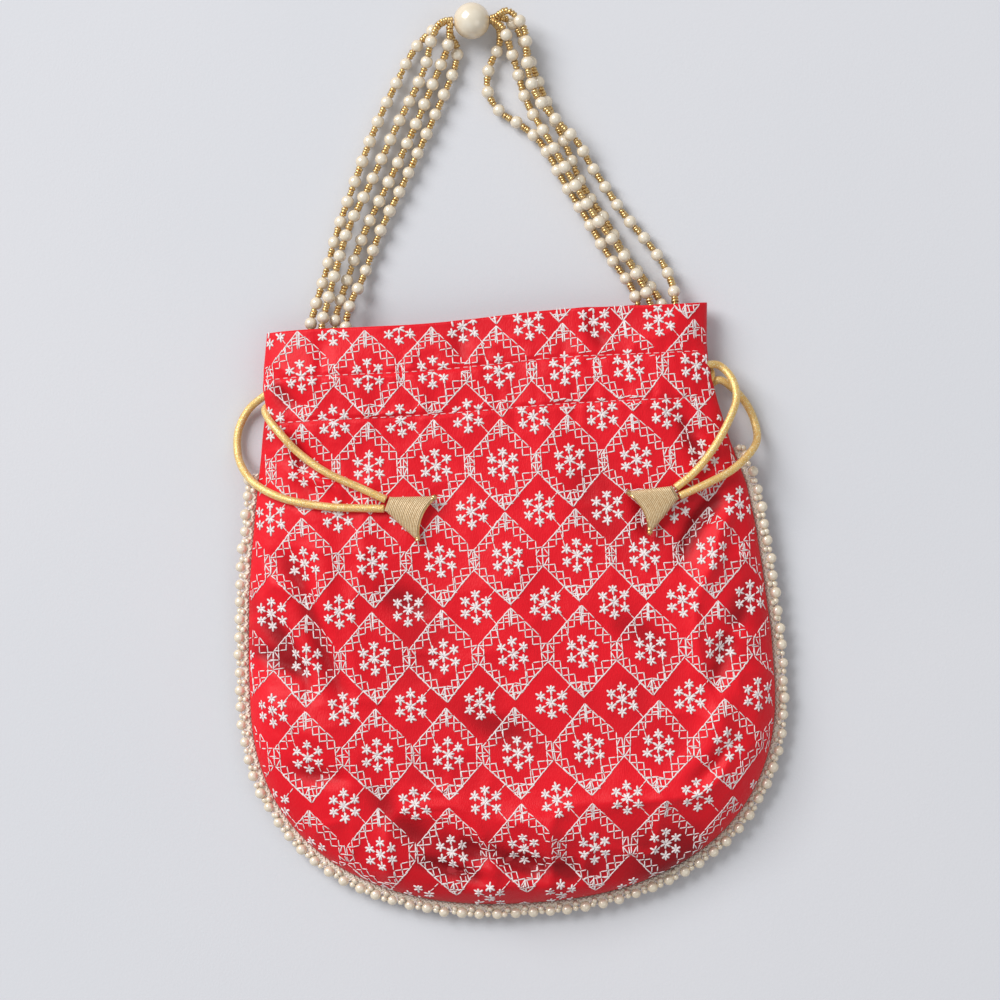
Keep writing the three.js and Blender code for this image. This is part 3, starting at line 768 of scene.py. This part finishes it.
def seam_line(outset):
    """Seam from the tape's left end, round the bottom, to its right end, moved outward."""
    y = TAPE_TOP_Y + (WIDEST_Y - TAPE_TOP_Y) * np.arange(SEAM_SIDE_STEPS) / SEAM_SIDE_STEPS
    turn = np.pi * (1 + np.arange(SEAM_BOTTOM_STEPS + 1) / SEAM_BOTTOM_STEPS)
    power = 2 / SQUARENESS
    low_x = BELLY_HALF * np.sign(np.cos(turn)) * np.abs(np.cos(turn)) ** power
    low_y = WIDEST_Y - BOTTOM_DEPTH * np.abs(np.sin(turn)) ** power
    line = np.concatenate([np.stack([-side_half(y), y], 1), np.stack([low_x, low_y], 1),
                           np.stack([side_half(y), y], 1)[::-1]])
    line = np.concatenate([line, seam_z(line[:, 1])[:, None]], axis=1)
    line = lay_out(line)
    even = at_length(line, np.linspace(0, length_along(line)[-1], SEAM_PLACES))
    way = directions(even)
    even[:, 0] += way[:, 1] * outset
    even[:, 1] -= way[:, 0] * outset
    return even


CHANNEL_RUN = [
    (85.2, 91.6, 7.9), (81, 92.2, 10.2), (76, 92.4, 12.4), (66, 92.5, 13.5), (40, 92.5, 14.4),
    (0, 92.5, 14.5), (-40, 92.5, 14.4), (-66, 92.5, 13.5), (-76, 92.5, 12.4), (-80.4, 91.6, 10.5),
    (-82, 88.8, 7.8), (-80.4, 86, 5.4), (-76, 84.9, 4.5), (-66, 84.9, 3.5), (-40, 84.9, 2.85),
    (0, 84.9, 2.8), (40, 84.9, 2.85), (66, 84.9, 3.5), (77, 84.9, 4.6), (82, 85.2, 6.3),
    (85, 86.2, 7.3),
]
RIGHT_FRONT_LEG = [
    (65.2, 45.9, 20.2), (72.4, 51.2, 19.4), (80.4, 60, 17.6), (87.4, 71, 15.2), (90.6, 79, 12.6),
    (89.4, 86.6, 9.6),
]
RIGHT_BACK_LEG = [
    (90.6, 82.3, 5.2), (95.6, 76, 2.6), (98.2, 69, 2.6), (98.2, 62.8, 6.6), (94.8, 57.8, 12.2),
    (87.2, 51.6, 16.2), (77, 46.8, 18.9), (66.6, 42.8, 20.1),
]
LEFT_FRONT_LEG = [
    (-43.8, 47.2, 20.8), (-52.7, 51.8, 20.4), (-65.8, 58.6, 19.6), (-76, 66.6, 18.2),
    (-82.8, 74.4, 17.2), (-87.2, 80.4, 13.4), (-88.3, 84.2, 9.8),
]
LEFT_BACK_LEG = [
    (-89.2, 89, 5.8), (-95.6, 84.2, 2.6), (-99.8, 76.6, 2.2), (-100.4, 68, 3.2),
    (-97.8, 61, 8.6), (-92.4, 55, 14.6), (-82.4, 49.6, 18.2), (-66.8, 45.8, 19.9),
    (-44.6, 43.8, 20.8),
]
LEFT_RUN = [(-x, 2 * CHANNEL_Y - y, z) for x, y, z in CHANNEL_RUN]

# Handle strands: where each goes through the large pearl, then its left and right runs
STRANDS = [
    ((0.6, -0.6), [
        (-70.2, 101.8, 6.1), (-69.9, 114.5, 6.1), (-67.4, 123, 4.6), (-63.6, 134, 2.9),
        (-57.8, 151, 2.7), (-51.5, 166.5, 2.7), (-40.9, 190.6, 2.7), (-32.6, 205.9, 2.7),
        (-24.5, 219.2, 2.7), (-19, 224.4, 3.4), (-13.5, 228, 5.2),
    ], [
        (11.5, 228.3, 4.2), (16.6, 221.5, 2.9), (19.2, 213, 2.7), (21.8, 205, 2.7),
        (24.8, 196, 2.7), (28.2, 187.6, 2.7), (31.2, 179.5, 2.7), (36.4, 164.6, 2.7),
        (45, 149.5, 2.7), (52.4, 135, 2.7), (58.5, 126.5, 3.2), (62.6, 120.5, 4.8),
        (64.9, 114.5, 6.1), (65.2, 101.8, 6.2),
    ]),
    ((0.6, 0.6), [
        (-65.5, 101.8, 9.2), (-65.3, 114.5, 9.1), (-62.9, 123, 8), (-59.5, 134, 6.9),
        (-53.5, 151, 6.4), (-44.9, 167.3, 3.4), (-32.7, 190.6, 2.7), (-24.4, 205, 2.9),
        (-20.5, 213, 4.6), (-18, 221, 8.2), (-14.4, 227, 9.8),
    ], [
        (11.8, 230.6, 9.4), (17.6, 223.4, 8.3), (18, 212.5, 7.9), (19.2, 203, 7.7),
        (23.4, 194, 7.8), (29.6, 186.5, 8.1), (36, 179.3, 6.2), (40, 172, 2.9),
        (43, 166.9, 2.7), (51.6, 152.6, 2.7), (62, 138.6, 2.7), (67, 130, 3.4),
        (69.3, 122, 6.4), (69.6, 114.5, 8.9), (69.8, 101.8, 8.9),
    ]),
    ((-0.6, 0.6), [
        (-60.9, 101.8, 6.1), (-60.7, 114.5, 6.1), (-58.4, 123, 4.6), (-54.3, 134, 2.9),
        (-47, 151, 2.7), (-38.2, 167, 2.7), (-25.5, 190.6, 2.7), (-19, 204.1, 2.7),
        (-15.4, 211.5, 3.4), (-12.4, 217.4, 5.2), (-10.9, 222.8, 8),
    ], [
        (9.6, 224, 9.6), (12, 216.5, 6.2), (14.2, 209, 3.1), (16.2, 200, 2.7),
        (19.2, 192, 3.6), (23.2, 184, 7.6), (27.6, 175.6, 7.7), (32, 166.9, 7.5),
        (40.2, 152, 7.5), (49, 138.5, 7.6), (55.2, 128.5, 8.2), (58.7, 121, 8.8),
        (60.4, 114.5, 9.1), (60.6, 101.8, 9.2),
    ]),
    ((-0.6, -0.6), [
        (-56.3, 101.8, 9.2), (-56.1, 114.5, 9.1), (-53.9, 123, 7.8), (-51, 128.5, 5.2),
        (-48.4, 134, 2.9), (-41, 151, 2.7), (-32.1, 167, 2.7), (-19.6, 190.6, 2.7),
        (-13, 203.8, 2.7), (-9.4, 212, 2.7), (-8.4, 218.6, 2.8), (-10.6, 223.8, 4.2),
    ], [
        (8.2, 223.6, 4.4), (7.6, 218.2, 2.9), (3.6, 210.8, 2.7), (2.6, 201, 2.7),
        (7, 193.3, 2.7), (14, 188.3, 2.7), (20.3, 182.6, 2.7), (25.2, 175, 2.7),
        (29.2, 166.5, 2.7), (37.3, 151.8, 2.7), (45, 137, 2.7), (51.3, 127.5, 3.2),
        (54.6, 120.5, 4.9), (55.8, 114.5, 6.1), (56, 101.8, 6.2),
    ]),
]


# Pieces


def make_drawcord(name, route, material):
    line = curve_through(route)
    total = length_along(line)[-1]
    line = at_length(line, np.linspace(0, total, int(total / CORD_STEP)))
    cord = tube("gold_" + name, line, CORD_R, 16, material)
    settle(cord, name)


def bead_places(number, bore_at, total):
    """Where the pearls and the seeds of a strand lie, measured along it."""
    pearls, seeds = [], []
    for way, room in ((-1, bore_at), (1, total - bore_at)):
        out = HANDLE_PEARL_R + SEED_RUN + (PEARL_PITCH / 2 if number % 2 == 0 else 0)
        seeds.extend(bore_at + way * step for step in np.arange(FIRST_SEED, out, SEED_STEP))
        while out + PEARL_PITCH < room:
            seeds.extend(bore_at + way * (out + (k + 0.5) * SEED_STEP) for k in range(3))
            pearls.append(bore_at + way * (out + PEARL_PITCH - STRAND_PEARL_R))
            out += PEARL_PITCH
        last = np.arange(out + 0.6, room - 0.6, SEED_STEP)
        seeds.extend(bore_at + way * step for step in last)
    return pearls, seeds


def make_strand(number, tree, shapes, finishes):
    bore, left, right = STRANDS[number - 1]
    inside = [(HANDLE_PEARL[0] + dx, HANDLE_PEARL[1] + bore[0], HANDLE_PEARL[2] + bore[1])
              for dx in (-8, -4, 0, 4, 8)]
    line = curve_through(left + inside + right)
    total = length_along(line)[-1]
    line = at_length(line, np.linspace(0, total, STRAND_PLACES))
    along = length_along(line)
    bore_at = along[np.argmin(np.linalg.norm(line - np.array(inside[2]), axis=1))]

    def strung(label, where, shape, size, finish, uneven, tilt):
        places, way, across, up = frames_at(line, where)
        roll = np.random.default_rng(number).uniform(0, 6.28, len(where))[:, None]
        lift = np.cos(roll) * across + np.sin(roll) * up
        turns = euler_of(way + tilt * np.cross(lift, way), lift)
        return repeated(label, tree, shape, places, turns, size, finish, uneven, number)

    pearls, seeds = bead_places(number, bore_at, total)
    in_bore = np.abs(along - bore_at) < HANDLE_PEARL_R + 0.6
    thread = tube("thread", line, np.where(in_bore, BORE_THREAD_R, THREAD_R), 6, finishes["thread"])
    big = strung("pearls", pearls, shapes["pearl"], [2 * STRAND_PEARL_R] * 3, finishes["pearl"],
                 0.03, 0)
    small = strung("seeds", seeds, shapes["seed"], SEED_SIZE, finishes["seed"], 0.1, 0.2)
    strand = join(f"beaded_strand_{number}", [thread, big, small])
    settle(strand, f"strand_{number}")


def make_handle_pearl(finish):
    """The large pearl, with a bore through it for all the strands."""
    rings, sides = 40, 64
    start = math.asin(HANDLE_BORE_R / HANDLE_PEARL_R)
    points = []
    for k in range(rings + 1):
        turn = start + (math.pi - 2 * start) * k / rings
        reach = HANDLE_PEARL_R * math.sin(turn)
        for j in range(sides):
            a = 2 * math.pi * j / sides
            points.append(HANDLE_PEARL + (-HANDLE_PEARL_R * math.cos(turn), reach * math.cos(a),
                                          reach * math.sin(a)))
    faces = sleeve_faces(rings + 1, sides, closed=True)
    pearl = make_mesh("large_pearl", points, [f[::-1] for f in faces], finish)
    settle(pearl, "handle_pearl")


def zigzag(name, tree, shape, outset, margin, step, slant, lift, size, finish, uneven, seed):
    """Short stitches along the seam that slant to one side and the other by turns."""
    line = seam_line(outset)
    where = np.arange(margin, length_along(line)[-1] - margin, step)
    places, way = frames_at(line, where)[:2]
    lean = np.where(np.arange(len(where)) % 2 == 0, slant, -slant)[:, None]
    up = np.broadcast_to((0, 0, 1.0), way.shape)
    turns = euler_of(way * np.cos(lean) + np.cross(way, up) * np.sin(lean), up)
    return repeated(name, tree, shape, places + (0, 0, lift), turns, size, finish, uneven, seed)


def make_tape(tree, shapes, finishes):
    """The braided tape in the seam, with a row of plaits on it and thread loops at its edge."""
    outer, inner = seam_line(TAPE_OUT), seam_line(TAPE_IN)
    section = ((0, 0.3), (0.35, 0.52), (0.7, 0.42), (1, 0.1), (1, -0.25), (0, -0.35))
    points = []
    for k in range(len(outer)):
        ripple = 0.15 * math.sin(2.4 * k)
        for share, height in section:
            place = inner[k] + (outer[k] - inner[k]) * share
            place[2] += height + (ripple if height > 0.2 else 0)
            points.append(place)
    faces = sleeve_faces(len(outer), len(section))
    tape = make_mesh("tape", points, faces, finishes["braid"])
    stitch = shapes["stitch"]
    plaits = zigzag("plaits", tree, stitch, 0.95, 0.6, 1.1, 0.75, 0.62, (2.5, 1.0, 0.8),
                    finishes["braid"], 0.08, 3)
    loops = zigzag("loops", tree, stitch, 2.6, 0.8, 1.3, 1.0, 0.5, (2.6, 0.55, 0.5),
                   finishes["thread"], 0.12, 6)
    tape = join("braided_tape", [tape, plaits, loops])
    settle(tape, "lace_tape")


def make_lace_pearls(tree, shape, finishes):
    """The string of pearls beside the tape: large ones, small ones between, and some inside."""
    line = seam_line(LACE_OUT)
    total = length_along(line)[-1]
    count = int(total / LACE_PITCH)
    large = np.arange(count) * total / count + LACE_PEARL_R
    small = large + total / count / 2
    drift = np.random.default_rng(5)
    strings = [tube("lace thread", line, 0.3, 6, finishes["thread"])]
    sorts = ((large, 4.2, 0.07, 0, 0), (small, 2.3, 0.1, 0, 0.3), (small + 0.4, 2.2, 0.14, 1.7, 0.9))
    for where, size, uneven, inward, lift in sorts:
        places, way, _, up = frames_at(line, where)
        places = places + drift.normal(0, 0.2, places.shape)
        places += inward * np.cross((0, 0, 1.0), way) + (0, 0, lift)
        strings.append(repeated("lace pearls", tree, shape, places, euler_of(way, up), [size] * 3,
                                finishes["pearl"], uneven, 4))
    settle(join("lace_pearl_string", strings), "lace_pearls")


# Embroidery


EMBROIDERED_SHARE = 0.99
HEM = 0.8
FIRST_ROW_Y = 93.8
ROW_STEP = 17.5
ROW_TILT = -0.020
MIDDLE_X = 0.9


def stitched(stitches, a, b, width=0.42, longest=2.5):
    """Running stitches from a to b, as (x, y, dx, dy, width)."""
    a, b = np.array(a, float), np.array(b, float)
    count = max(1, round(np.linalg.norm(b - a) / longest))
    for k in range(count):
        middle = a + (b - a) * (k + 0.5) / count
        step = (b - a) / count * 1.12
        stitches.append((*middle, *step, width))


def sprig(stitches, x, y, lean):
    """A centre star with six arms, each ending in a small star of six petals."""
    for arm in range(6):
        turn = lean + math.pi / 2 + arm * math.pi / 3
        end = (x + 4.7 * math.cos(turn), y + 4.7 * math.sin(turn))
        stitched(stitches, (x, y), end, 0.55, 2.4)
        star(stitches, *end, turn, 2.0)
    star(stitches, x, y, lean + 0.3, 2.3)


def star(stitches, x, y, turn, reach):
    for petal in range(6):
        off = math.sin(37.1 * x + 11.7 * y + 5.3 * petal)
        way = turn + petal * math.pi / 3 + 0.22 * off
        far = reach * (1 + 0.14 * math.sin(19.3 * x - 7.9 * y + 2.9 * petal))
        dx, dy = far * math.cos(way), far * math.sin(way)
        stitches.append((x + 0.5 * dx, y + 0.5 * dy, dx * 1.1, dy * 1.1, 0.95))


def lattice_cell(stitches, x, y, lean):
    """A diamond of overlapping steps, with a short ladder at each side."""
    half, side, foot = 13.0, 3.4, 17.3
    turned = np.array([[math.cos(lean), -math.sin(lean)], [math.sin(lean), math.cos(lean)]])

    def put(a, b):
        wobble = 0.22 * np.sin(np.array([7.7 * x + 3.1 * a[0], 5.9 * y + 4.3 * b[1]]))
        stitched(stitches, turned @ (a + wobble) + (x, y), turned @ (b + wobble[::-1]) + (x, y),
                 0.5, 2.9)

    def at(px, py):
        return np.array([px, py], float)

    slope = at(-half, foot - side)
    for sx in (-1, 1):
        for sy in (-1, 1):
            for t in (0, 0.2, 0.4, 0.6, 0.8):
                tip = at(half, side) + slope * t
                peak = tip + slope * min(0.4, 1 - t)
                corner = at(sx * peak[0] - (0.6 if sy < 0 else 0), sy * tip[1] - 0.4 * sx)
                tip, peak = tip * (sx, sy), peak * (sx, sy)
                put(tip, corner)
                put(corner, peak)
                broken = 0.42 if sx > 0 and sy > 0 else 1
                put(peak, peak + (tip - peak) * broken)
        put(at(sx * half, -side), at(sx * half, side))
        put(at(sx * (half - 2.3), -side * 1.7), at(sx * (half - 2.3), side * 1.7))
        put(at(sx * (half - 0.8), side * 0.9), at(sx * (half - 2.3), 0.9))
        put(at(sx * (half - 2.3), -0.5), at(sx * (half - 0.5), -side * 0.95))
        put(at(sx * (half - 2.4), 0), at(sx * (half + 1.2), 0.2))
    put(at(-0.6, foot - 0.3), at(-0.4, foot - 7))
    put(at(0.4, foot - 0.3), at(0.3, foot - 7))
    put(at(-2.4, foot - 4.2), at(2.2, foot - 3.4))
    for a, b in (((-5, 5.2), (0, 6.1)), ((0, 6.1), (5.4, 5)), ((-2.2, 3), (-0.3, 5.6)),
                 ((-0.3, 5.6), (-1.2, 2)), ((0.3, 5.6), (1.2, 1.8)), ((-2.2, 1.8), (3.4, 2.7))):
        put(at(a[0], a[1] - foot), at(b[0], b[1] - foot))


def pattern():
    """All stitches of one side of the bag, on the plan as the photo shows it."""
    stitches = []
    chance = np.random.default_rng(11)
    for row in range(-2, 13):
        latticed = row % 2 == 0
        pitch = 24.8 + 0.2 * row
        for column in range(-5, 6):
            x = MIDDLE_X + (column + (0 if latticed else 0.5)) * pitch
            y = FIRST_ROW_Y - ROW_STEP * row - 0.06 * row * row + x * ROW_TILT
            x += chance.normal(0, 0.25)
            y += chance.normal(0, 0.25)
            lean = chance.normal(0.0, 0.025)
            if latticed:
                lattice_cell(stitches, x, y, lean)
            sprig(stitches, x, y, lean)
            if latticed:
                stitched(stitches, (x - 4.4, y + 3.4), (x - 6.2, y + 10.8))
                stitched(stitches, (x + 4.2, y - 3.6), (x + 4.6, y - 12.2))
            else:
                stitched(stitches, (x + 4.6, y + 3.2), (x + 8, y + 6.8))
                stitched(stitches, (x + 4.6, y - 3.2), (x + 8, y - 7.4))
    return np.array(stitches)


def plan_of(x, y):
    """The plain cut's place that the photo's place comes from."""
    px, py = x.copy(), y.copy()
    for _ in range(4):
        seen = lay_out(np.stack([px, py, 0 * px], axis=-1))
        px += x - seen[:, 0]
        py += y - seen[:, 1]
    return px, py


def on_cloth(side, px, py, along, lift):
    """Places just over the cloth's face, with their turns along the given directions."""
    normal = face_normal(side, px, py)
    along = along - normal * np.sum(along * normal, axis=1, keepdims=True)
    places = lay_out(np.stack([px, py, face_z(side, px, py)], axis=-1)) + normal * lift
    return places, euler_of(along, normal), np.linalg.norm(along, axis=1)


def embroider(name, side, tree, shape, material):
    """Every stitch laid on the cloth, following its folds."""
    stitches = pattern()
    x, y, dx, dy, width = stitches.T
    if side < 0:
        x, dx = -x, -dx
    px, py = plan_of(x, y)
    share = seam_share(px, py)
    kept = (share < EMBROIDERED_SHARE) & (py < TOP_Y - HEM)
    for line in (STITCH_TOP_Y, STITCH_LOW_Y):
        kept &= np.abs(py - line) > 0.5
    dx, dy, width, px, py = (v[kept] for v in (dx, dy, width, px, py))
    along = np.stack([dx, dy, np.zeros_like(dx)], axis=-1)
    places, turns, long = on_cloth(side, px, py, along, 0.12)
    sizes = np.stack([long, width, 0.55 * width + 0.12], axis=-1)
    work = repeated(name, tree, shape, places, turns, sizes, material, 0.06, 7)
    settle(work)


def channel_stitches(tree, shape, material):
    """The two pink lines that close the channel, front and back."""
    made = []
    for side in (1, -1):
        for line in (STITCH_TOP_Y, STITCH_LOW_Y):
            x = np.arange(-82, 82, 3.1)
            along = np.tile((1.0, 0, 0), (len(x), 1))
            places, turns = on_cloth(side, x, np.full_like(x, line), along, 0.15)[:2]
            made.append(repeated("line", tree, shape, places, turns, (2.4, 0.4, 0.35), material,
                                 0.05, 9))
    settle(join("channel_stitches", made))


# Ribbon caps and anchors

CAP_LENGTH = 15
CAP_BOW = 2.2
CAP_TIP_HALF = 3
CAP_END_HALF = 9.1


def make_tassel(name, tip, turn, finish, foil):
    """A folded cap of ribbed ribbon: narrow and rolled at its tip, open and curved at its end."""
    steps, across = 42, 28
    spun = np.array([[math.cos(turn), -math.sin(turn), 0], [math.sin(turn), math.cos(turn), 0],
                     [0, 0, 1.0]])

    def bow(s):
        return CAP_BOW * (1 - s * s)

    points, uvs = [], []
    for face in (1, -1):
        for k in range(steps + 1):
            t = k / steps
            rib = 0.2 * abs(math.sin(math.pi * t * 12))
            for j in range(across + 1):
                s = 2 * j / across - 1
                thick = 0.25 + (1.75 - 0.3 * t + rib) * (1 - abs(s) ** 3) ** 0.5
                half = CAP_TIP_HALF + (CAP_END_HALF - CAP_TIP_HALF) * t
                points.append((t * (CAP_LENGTH - bow(s)), s * half, 2.3 + face * thick))
                uvs.append((s, t))
    cap = make_mesh("cap", np.array(points) @ spun.T + tip, shell_faces(steps + 1, across + 1),
                    finish)
    lay_uvs(cap, uvs)
    lip = []
    for j in range(61):
        s = j / 30 - 1
        crushed = 0.25 * abs(s) * math.sin(9.7 * j)
        lip.append(spun @ np.array([CAP_LENGTH - bow(s) + crushed, s * 8.9, 2.7 + crushed]) + tip)
    ends = np.abs(np.linspace(-1, 1, 61)) ** 4
    radii = 0.6 + ends * (0.6 + 0.3 * np.sin(2.3 * np.arange(61)))
    rolled = tube("lip", np.array(lip), radii, 9, foil)
    nose = [spun @ np.array([0.3, s * 2.9, 2.4]) + tip for s in np.linspace(-1, 1, 9)]
    tight = tube("nose", np.array(nose), 1.25, 12, finish)
    settle(join("ribbon_" + name, [cap, rolled, tight]), name)


def make_anchor(name, middle_x, tree, shape, finish):
    """A sewn bar of braid that holds the ends of the strands."""
    low, high = (middle_x - 9.2, 97.4, 4.1), (middle_x + 9.2, 101.4, 10.4)
    points = [(x, y, z) for z in (low[2], high[2]) for y in (low[1], high[1])
              for x in (low[0], high[0])]
    faces = [(0, 2, 3, 1), (4, 5, 7, 6), (0, 1, 5, 4), (2, 6, 7, 3), (0, 4, 6, 2), (1, 3, 7, 5)]
    bar = make_mesh("bar", points, faces, finish, shade=False)
    places = np.array([(middle_x - 8.4 + 1.3 * k, 101.45, 7.2) for k in range(14)])
    along = np.broadcast_to((0.5, 0, 4.5), places.shape)
    turns = euler_of(along, np.broadcast_to((0, 1.0, 0), places.shape))
    wraps = repeated("wraps", tree, shape, places, turns, (5.4, 1.1, 0.5), finish, 0.05, 2)
    settle(join("sewn_" + name, [bar, wraps]), name)


# The whole scene


FLOOR_HALF = 4000
FLOOR_Z = -0.45
VIEW_TURN = -3


def set_stage():
    """White cloth below, a soft lamp at the upper left, pale light all round, a camera above."""
    corners = ((-1, -1), (1, -1), (1, 1), (-1, 1))
    points = [(x * FLOOR_HALF, y * FLOOR_HALF, FLOOR_Z) for x, y in corners]
    make_mesh("white_cloth", points, [(0, 1, 2, 3)], floor_material(), shade=False)
    scene = bpy.context.scene
    scene.view_settings.view_transform = "Standard"
    world = bpy.data.worlds.new("pale room")
    scene.world = world
    world.use_nodes = True
    ground = world.node_tree.nodes["Background"]
    ground.inputs["Color"].default_value = (1.0, 1.0, 1.0, 1)
    ground.inputs["Strength"].default_value = 0.42
    lamps = (("window", (-3.1, 2.8, 3.4), 3.0, 262), ("fill", (1.8, -1.2, 2.6), 2, 7))
    for name, place, size, power in lamps:
        light = bpy.data.lights.new(name, "AREA")
        light.size = size
        light.energy = power
        lamp = bpy.data.objects.new(name, light)
        lamp.location = place
        aim = Vector((0, 0.04, 0)) - lamp.location
        lamp.rotation_euler = aim.to_track_quat("-Z", "Y").to_euler()
        scene.collection.objects.link(lamp)
    camera = bpy.data.cameras.new("camera")
    camera.sensor_width = 36
    camera.lens = 89.0
    seen = bpy.data.objects.new("camera", camera)
    seen.location = (-0.001, 0.0448, 0.9505)
    seen.rotation_euler = (0, 0, math.radians(VIEW_TURN))
    scene.collection.objects.link(seen)
    scene.camera = seen


def make_cloths(satin, lining):
    """Two satin panels and the two of the lining, which closes the channel on its inner side."""
    def inner(y):
        return OUTER_THICK + 0.5 + CORD_ROOM * channel_share(y)

    def innermost(y):
        return inner(y) + 0.5

    panels = [
        ("outer_front", 1, (0, OUTER_THICK), False, (225, 180), satin, "embroidered_satin"),
        ("outer_back", -1, (0, OUTER_THICK), False, (120, 90), satin, "embroidered_satin"),
        ("lining_front", 1, (inner, innermost), True, (70, 60), lining, "lining_cloth"),
        ("lining_back", -1, (inner, innermost), True, (70, 60), lining, "lining_cloth"),
    ]
    for name, side, depths, is_lining, counts, finish, slot_name in panels:
        cloth = cloth_panel(name + "_cloth", side, depths, is_lining, counts, finish)
        settle(cloth, name)


def main():
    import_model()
    set_stage()
    tree = repeat_tree()
    finishes = {
        "cord": gold_cord_material(), "ribbon": ribbon_material(), "braid": braid_material(),
        "seed": gold_seed_material(), "thread": thread_material(),
        "pearl": pearl_material(),
    }
    shapes = {
        "stitch": turned_shape("stitch", [(-0.5, 0), (-0.3, 0.46), (0.3, 0.46), (0.5, 0)], 4,
                               finishes["thread"]),
        "pearl": turned_shape("pearl", [(-0.5, 0)] + [
            (-0.5 * math.cos(t), 0.5 * math.sin(t)) for t in np.linspace(0, math.pi, 11)[1:-1]
        ] + [(0.5, 0)], 18, finishes["pearl"]),
        "seed": turned_shape("seed", [(-0.5, 0), (-0.5, 0.36), (-0.3, 0.5), (0.3, 0.5),
                                      (0.5, 0.36), (0.5, 0)], 7, finishes["seed"]),
    }
    make_drawcord("drawcord_left", LEFT_FRONT_LEG + LEFT_RUN + LEFT_BACK_LEG, finishes["cord"])
    make_drawcord("drawcord_right", RIGHT_FRONT_LEG + CHANNEL_RUN + RIGHT_BACK_LEG,
                  finishes["cord"])
    for number in (1, 2, 3, 4):
        make_strand(number, tree, shapes, finishes)
    make_handle_pearl(finishes["pearl"])
    make_cloths(satin_material(), lining_material())
    make_tape(tree, shapes, finishes)
    make_lace_pearls(tree, shapes["pearl"], finishes)
    embroider("embroidery_front", 1, tree, shapes["stitch"], finishes["thread"])
    embroider("embroidery_back", -1, tree, shapes["stitch"], finishes["thread"])
    channel_stitches(tree, shapes["stitch"], seam_thread_material())
    for side, tip, turn in (("left", (-42.6, 45.3, 19.6), -0.42),
                            ("right", (64.2, 43.9, 19.3), math.pi + 0.45)):
        make_tassel("tassel_" + side, tip, turn, finishes["ribbon"], finishes["seed"])
    for side, middle_x in (("left", -63.2), ("right", 62.8)):
        make_anchor("handle_anchor_" + side, middle_x, tree, shapes["stitch"], finishes["braid"])
    for shape in shapes.values():
        bpy.data.objects.remove(shape)


main()
